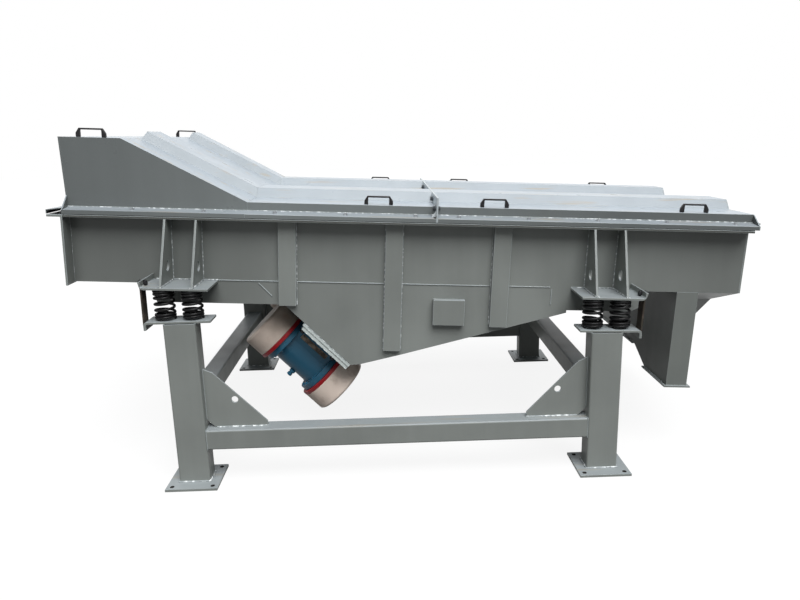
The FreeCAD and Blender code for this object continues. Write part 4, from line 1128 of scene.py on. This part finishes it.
print("The bead tree has %d nodes" % len(bead_tree.nodes))

# %% [markdown]
# On the base frame a bead runs round each leg's foot, round the ends of the beams, and along the
# two sides of every corner web.

# %% Welds of the base frame
LEG_HALF = (0.075, 0.050)
FOOT_THICK = 0.012
BEAM = 0.100
CROSS_LOW = 0.175
SIDE_BEAM_LOW = 0.318
WEB_REACH = 0.293
WEB_TOP = 0.573
WEB_SHOULDER = 0.045
WEB_FACE = 0.006
OFF_PLATE = 0.001
OFF_FOOT = 0.0015
x_way, y_way, z_way = Vector((1, 0, 0)), Vector((0, 1, 0)), Vector((0, 0, 1))


def rectangle(centre, along, across):
    """The corners of a rectangle round a centre, closed, from its two half sides."""
    return [centre + along * i + across * j
            for i, j in ((-1, -1), (1, -1), (1, 1), (-1, 1), (-1, -1))]


frame_lines, foot_lines = [], []
for side, row_side in CORNERS.values():
    foot = Vector((side * LEG_X, row_side * LEG_Y, FOOT_THICK + OFF_FOOT))
    foot_lines.append(rectangle(foot, x_way * (LEG_HALF[0] + OFF_FOOT),
                                y_way * (LEG_HALF[1] + OFF_FOOT)))
    end = Vector((side * (LEG_X - LEG_HALF[0] - OFF_PLATE), row_side * LEG_Y,
                  CROSS_LOW + BEAM / 2))
    frame_lines.append(rectangle(end, y_way * BEAM / 2, z_way * BEAM / 2))
    end = Vector((side * LEG_X, row_side * (LEG_Y - LEG_HALF[1] - OFF_PLATE),
                  SIDE_BEAM_LOW + BEAM / 2))
    frame_lines.append(rectangle(end, x_way * BEAM / 2, z_way * BEAM / 2))
    web_low = CROSS_LOW + BEAM
    for face in (-WEB_FACE, WEB_FACE):
        y = row_side * LEG_Y + face
        x = side * (LEG_X - LEG_HALF[0] - OFF_PLATE)
        frame_lines.append([Vector((x, y, web_low + WEB_SHOULDER)), Vector((x, y, WEB_TOP))])
        foot_lines.append([Vector((x - side * WEB_SHOULDER, y, web_low + OFF_PLATE)),
                           Vector((x - side * WEB_REACH, y, web_low + OFF_PLATE))])
beads("frame_welds", frame_lines, radius=0.0022, finish=edge_highlight_grey)
beads("foot_welds", foot_lines, radius=0.0046, ripple=0.005)

# %% [markdown]
# On the box the ribs and the spring brackets' cheeks are welded to the side plates, the cheeks to
# their bracket, and a painted seam shows where the side plate's trough and hopper parts meet.

# %% Welds of the box
FLANGE_LOW = -0.083
SEAM_LOW = -0.3835
CHEEK_FOOT = -0.382
RIBS = ((-0.496, 0.500), (0.020, 0.722), (0.544, 0.588))
RIB_EDGE, RIB_END = 0.0435, 0.0425
CHEEKS = ((-1, 0.016 - LEG_X), (1, LEG_X + 0.044))
CHEEK_HALF_GAP = 0.0725
CHEEK_FACE = 0.006
SEAMS = ((-0.838, -0.539), (-0.453, -0.023), (0.063, 0.501), (0.587, 0.796))
HOPPER_SEAMS = (((-0.640, SEAM_LOW - 0.010), (-0.575, -0.458)),
                ((0.805, SEAM_LOW - 0.008), (0.805, -0.470)))
FEED_PLATE_AT = -1.528
FEED_PLATE_LOW = -0.404
BRACKET_EDGE = 0.905
FOLD_CLEAR = 0.012

box_lines, plate_lines, seam_lines = [], [], []
for row_side in (-1, 1):
    skin = row_side * (BOX_HALF + OFF_PLATE)
    for middle, low in RIBS:
        for edge in (-RIB_EDGE, RIB_EDGE):
            box_lines.append([on_box(middle + edge, skin, FLANGE_LOW),
                              on_box(middle + edge, skin, -low)])
        box_lines.append([on_box(middle - RIB_END, skin, -low),
                          on_box(middle + RIB_END, skin, -low)])
    for side, middle in CHEEKS:
        for half in (-CHEEK_HALF_GAP, CHEEK_HALF_GAP):
            for face in (-CHEEK_FACE, CHEEK_FACE):
                at = middle + half + face
                box_lines.append([on_box(at, skin, FLANGE_LOW),
                                  on_box(at, skin, CHEEK_FOOT - OFF_PLATE)])
                plate_lines.append([on_box(at, skin, CHEEK_FOOT),
                                    on_box(at, row_side * BRACKET_EDGE, CHEEK_FOOT)])
        end = side * (LEG_X + BRACKET_OUT[side])
        plate_lines.append([on_box(end - side * FOLD_CLEAR, skin, CHEEK_FOOT),
                            on_box(end - side * BRACKET_LONG[side], skin, CHEEK_FOOT)])
    for start, end in SEAMS:
        seam_lines.append([on_box(start, skin, SEAM_LOW), on_box(end, skin, SEAM_LOW)])
    for (start, top), (end, low) in HOPPER_SEAMS:
        seam_lines.append([on_box(start, skin, top), on_box(end, skin, low)])
    box_lines.append([on_box(FEED_PLATE_AT, skin, FLANGE_LOW),
                      on_box(FEED_PLATE_AT, skin, FEED_PLATE_LOW)])
beads("box_welds", box_lines, radius=0.0026)
beads("bracket_welds", plate_lines, radius=0.0035, ripple=0.005)
beads("seam_welds", seam_lines, radius=0.0030, finish=edge_highlight_grey)

# %% [markdown]
# The two plates under the hopper are welded along their free edges beside each motor, in thin
# passes, with a thin dark bead between them that is painted shade in the gap.

# %% Welds of the motor plates
EDGE_OUT, PASS_END = 0.2995, 0.412
PASSES = ((0.114, 0.1745), (0.114, 0.1935), (0.104, 0.2060))
GAP_SHADE = (0.112, 0.1895)

mount_lines, gap_shade_lines = [], []
for row_side in (-1, 1):
    for lines, (start, above) in [(mount_lines, weld) for weld in PASSES] + [(gap_shade_lines, GAP_SHADE)]:
        lines.append([on_motor(row_side, start, EDGE_OUT, above),
                      on_motor(row_side, PASS_END, EDGE_OUT, above)])
beads("mount_welds", mount_lines, radius=0.0014)
# A dark bead between the passes: painted shade in the gap.
beads("mount_gap_shade", gap_shade_lines, radius=0.0012, finish=painted_shade_grey)

# %% [markdown]
# A last bead follows the root of each cover's lip, where the low wall meets it, up to the joint
# flange from both sides.

# %% Welds along the covers
LIP_ROOT, LIP_ROOT_DOWN = 0.7075, -0.0395
COVER_ENDS = ((-1.527, JOINT_AT - JOINT_THICK / 2), (JOINT_AT + JOINT_THICK / 2, 1.757))

cover_lines = []
for row_side in (-1, 1):
    for start, end in COVER_ENDS:
        cover_lines.append([on_box(start, row_side * LIP_ROOT, LIP_ROOT_DOWN),
                            on_box(end, row_side * LIP_ROOT, LIP_ROOT_DOWN)])
beads("cover_welds", cover_lines, radius=0.0026, ripple=0.006)
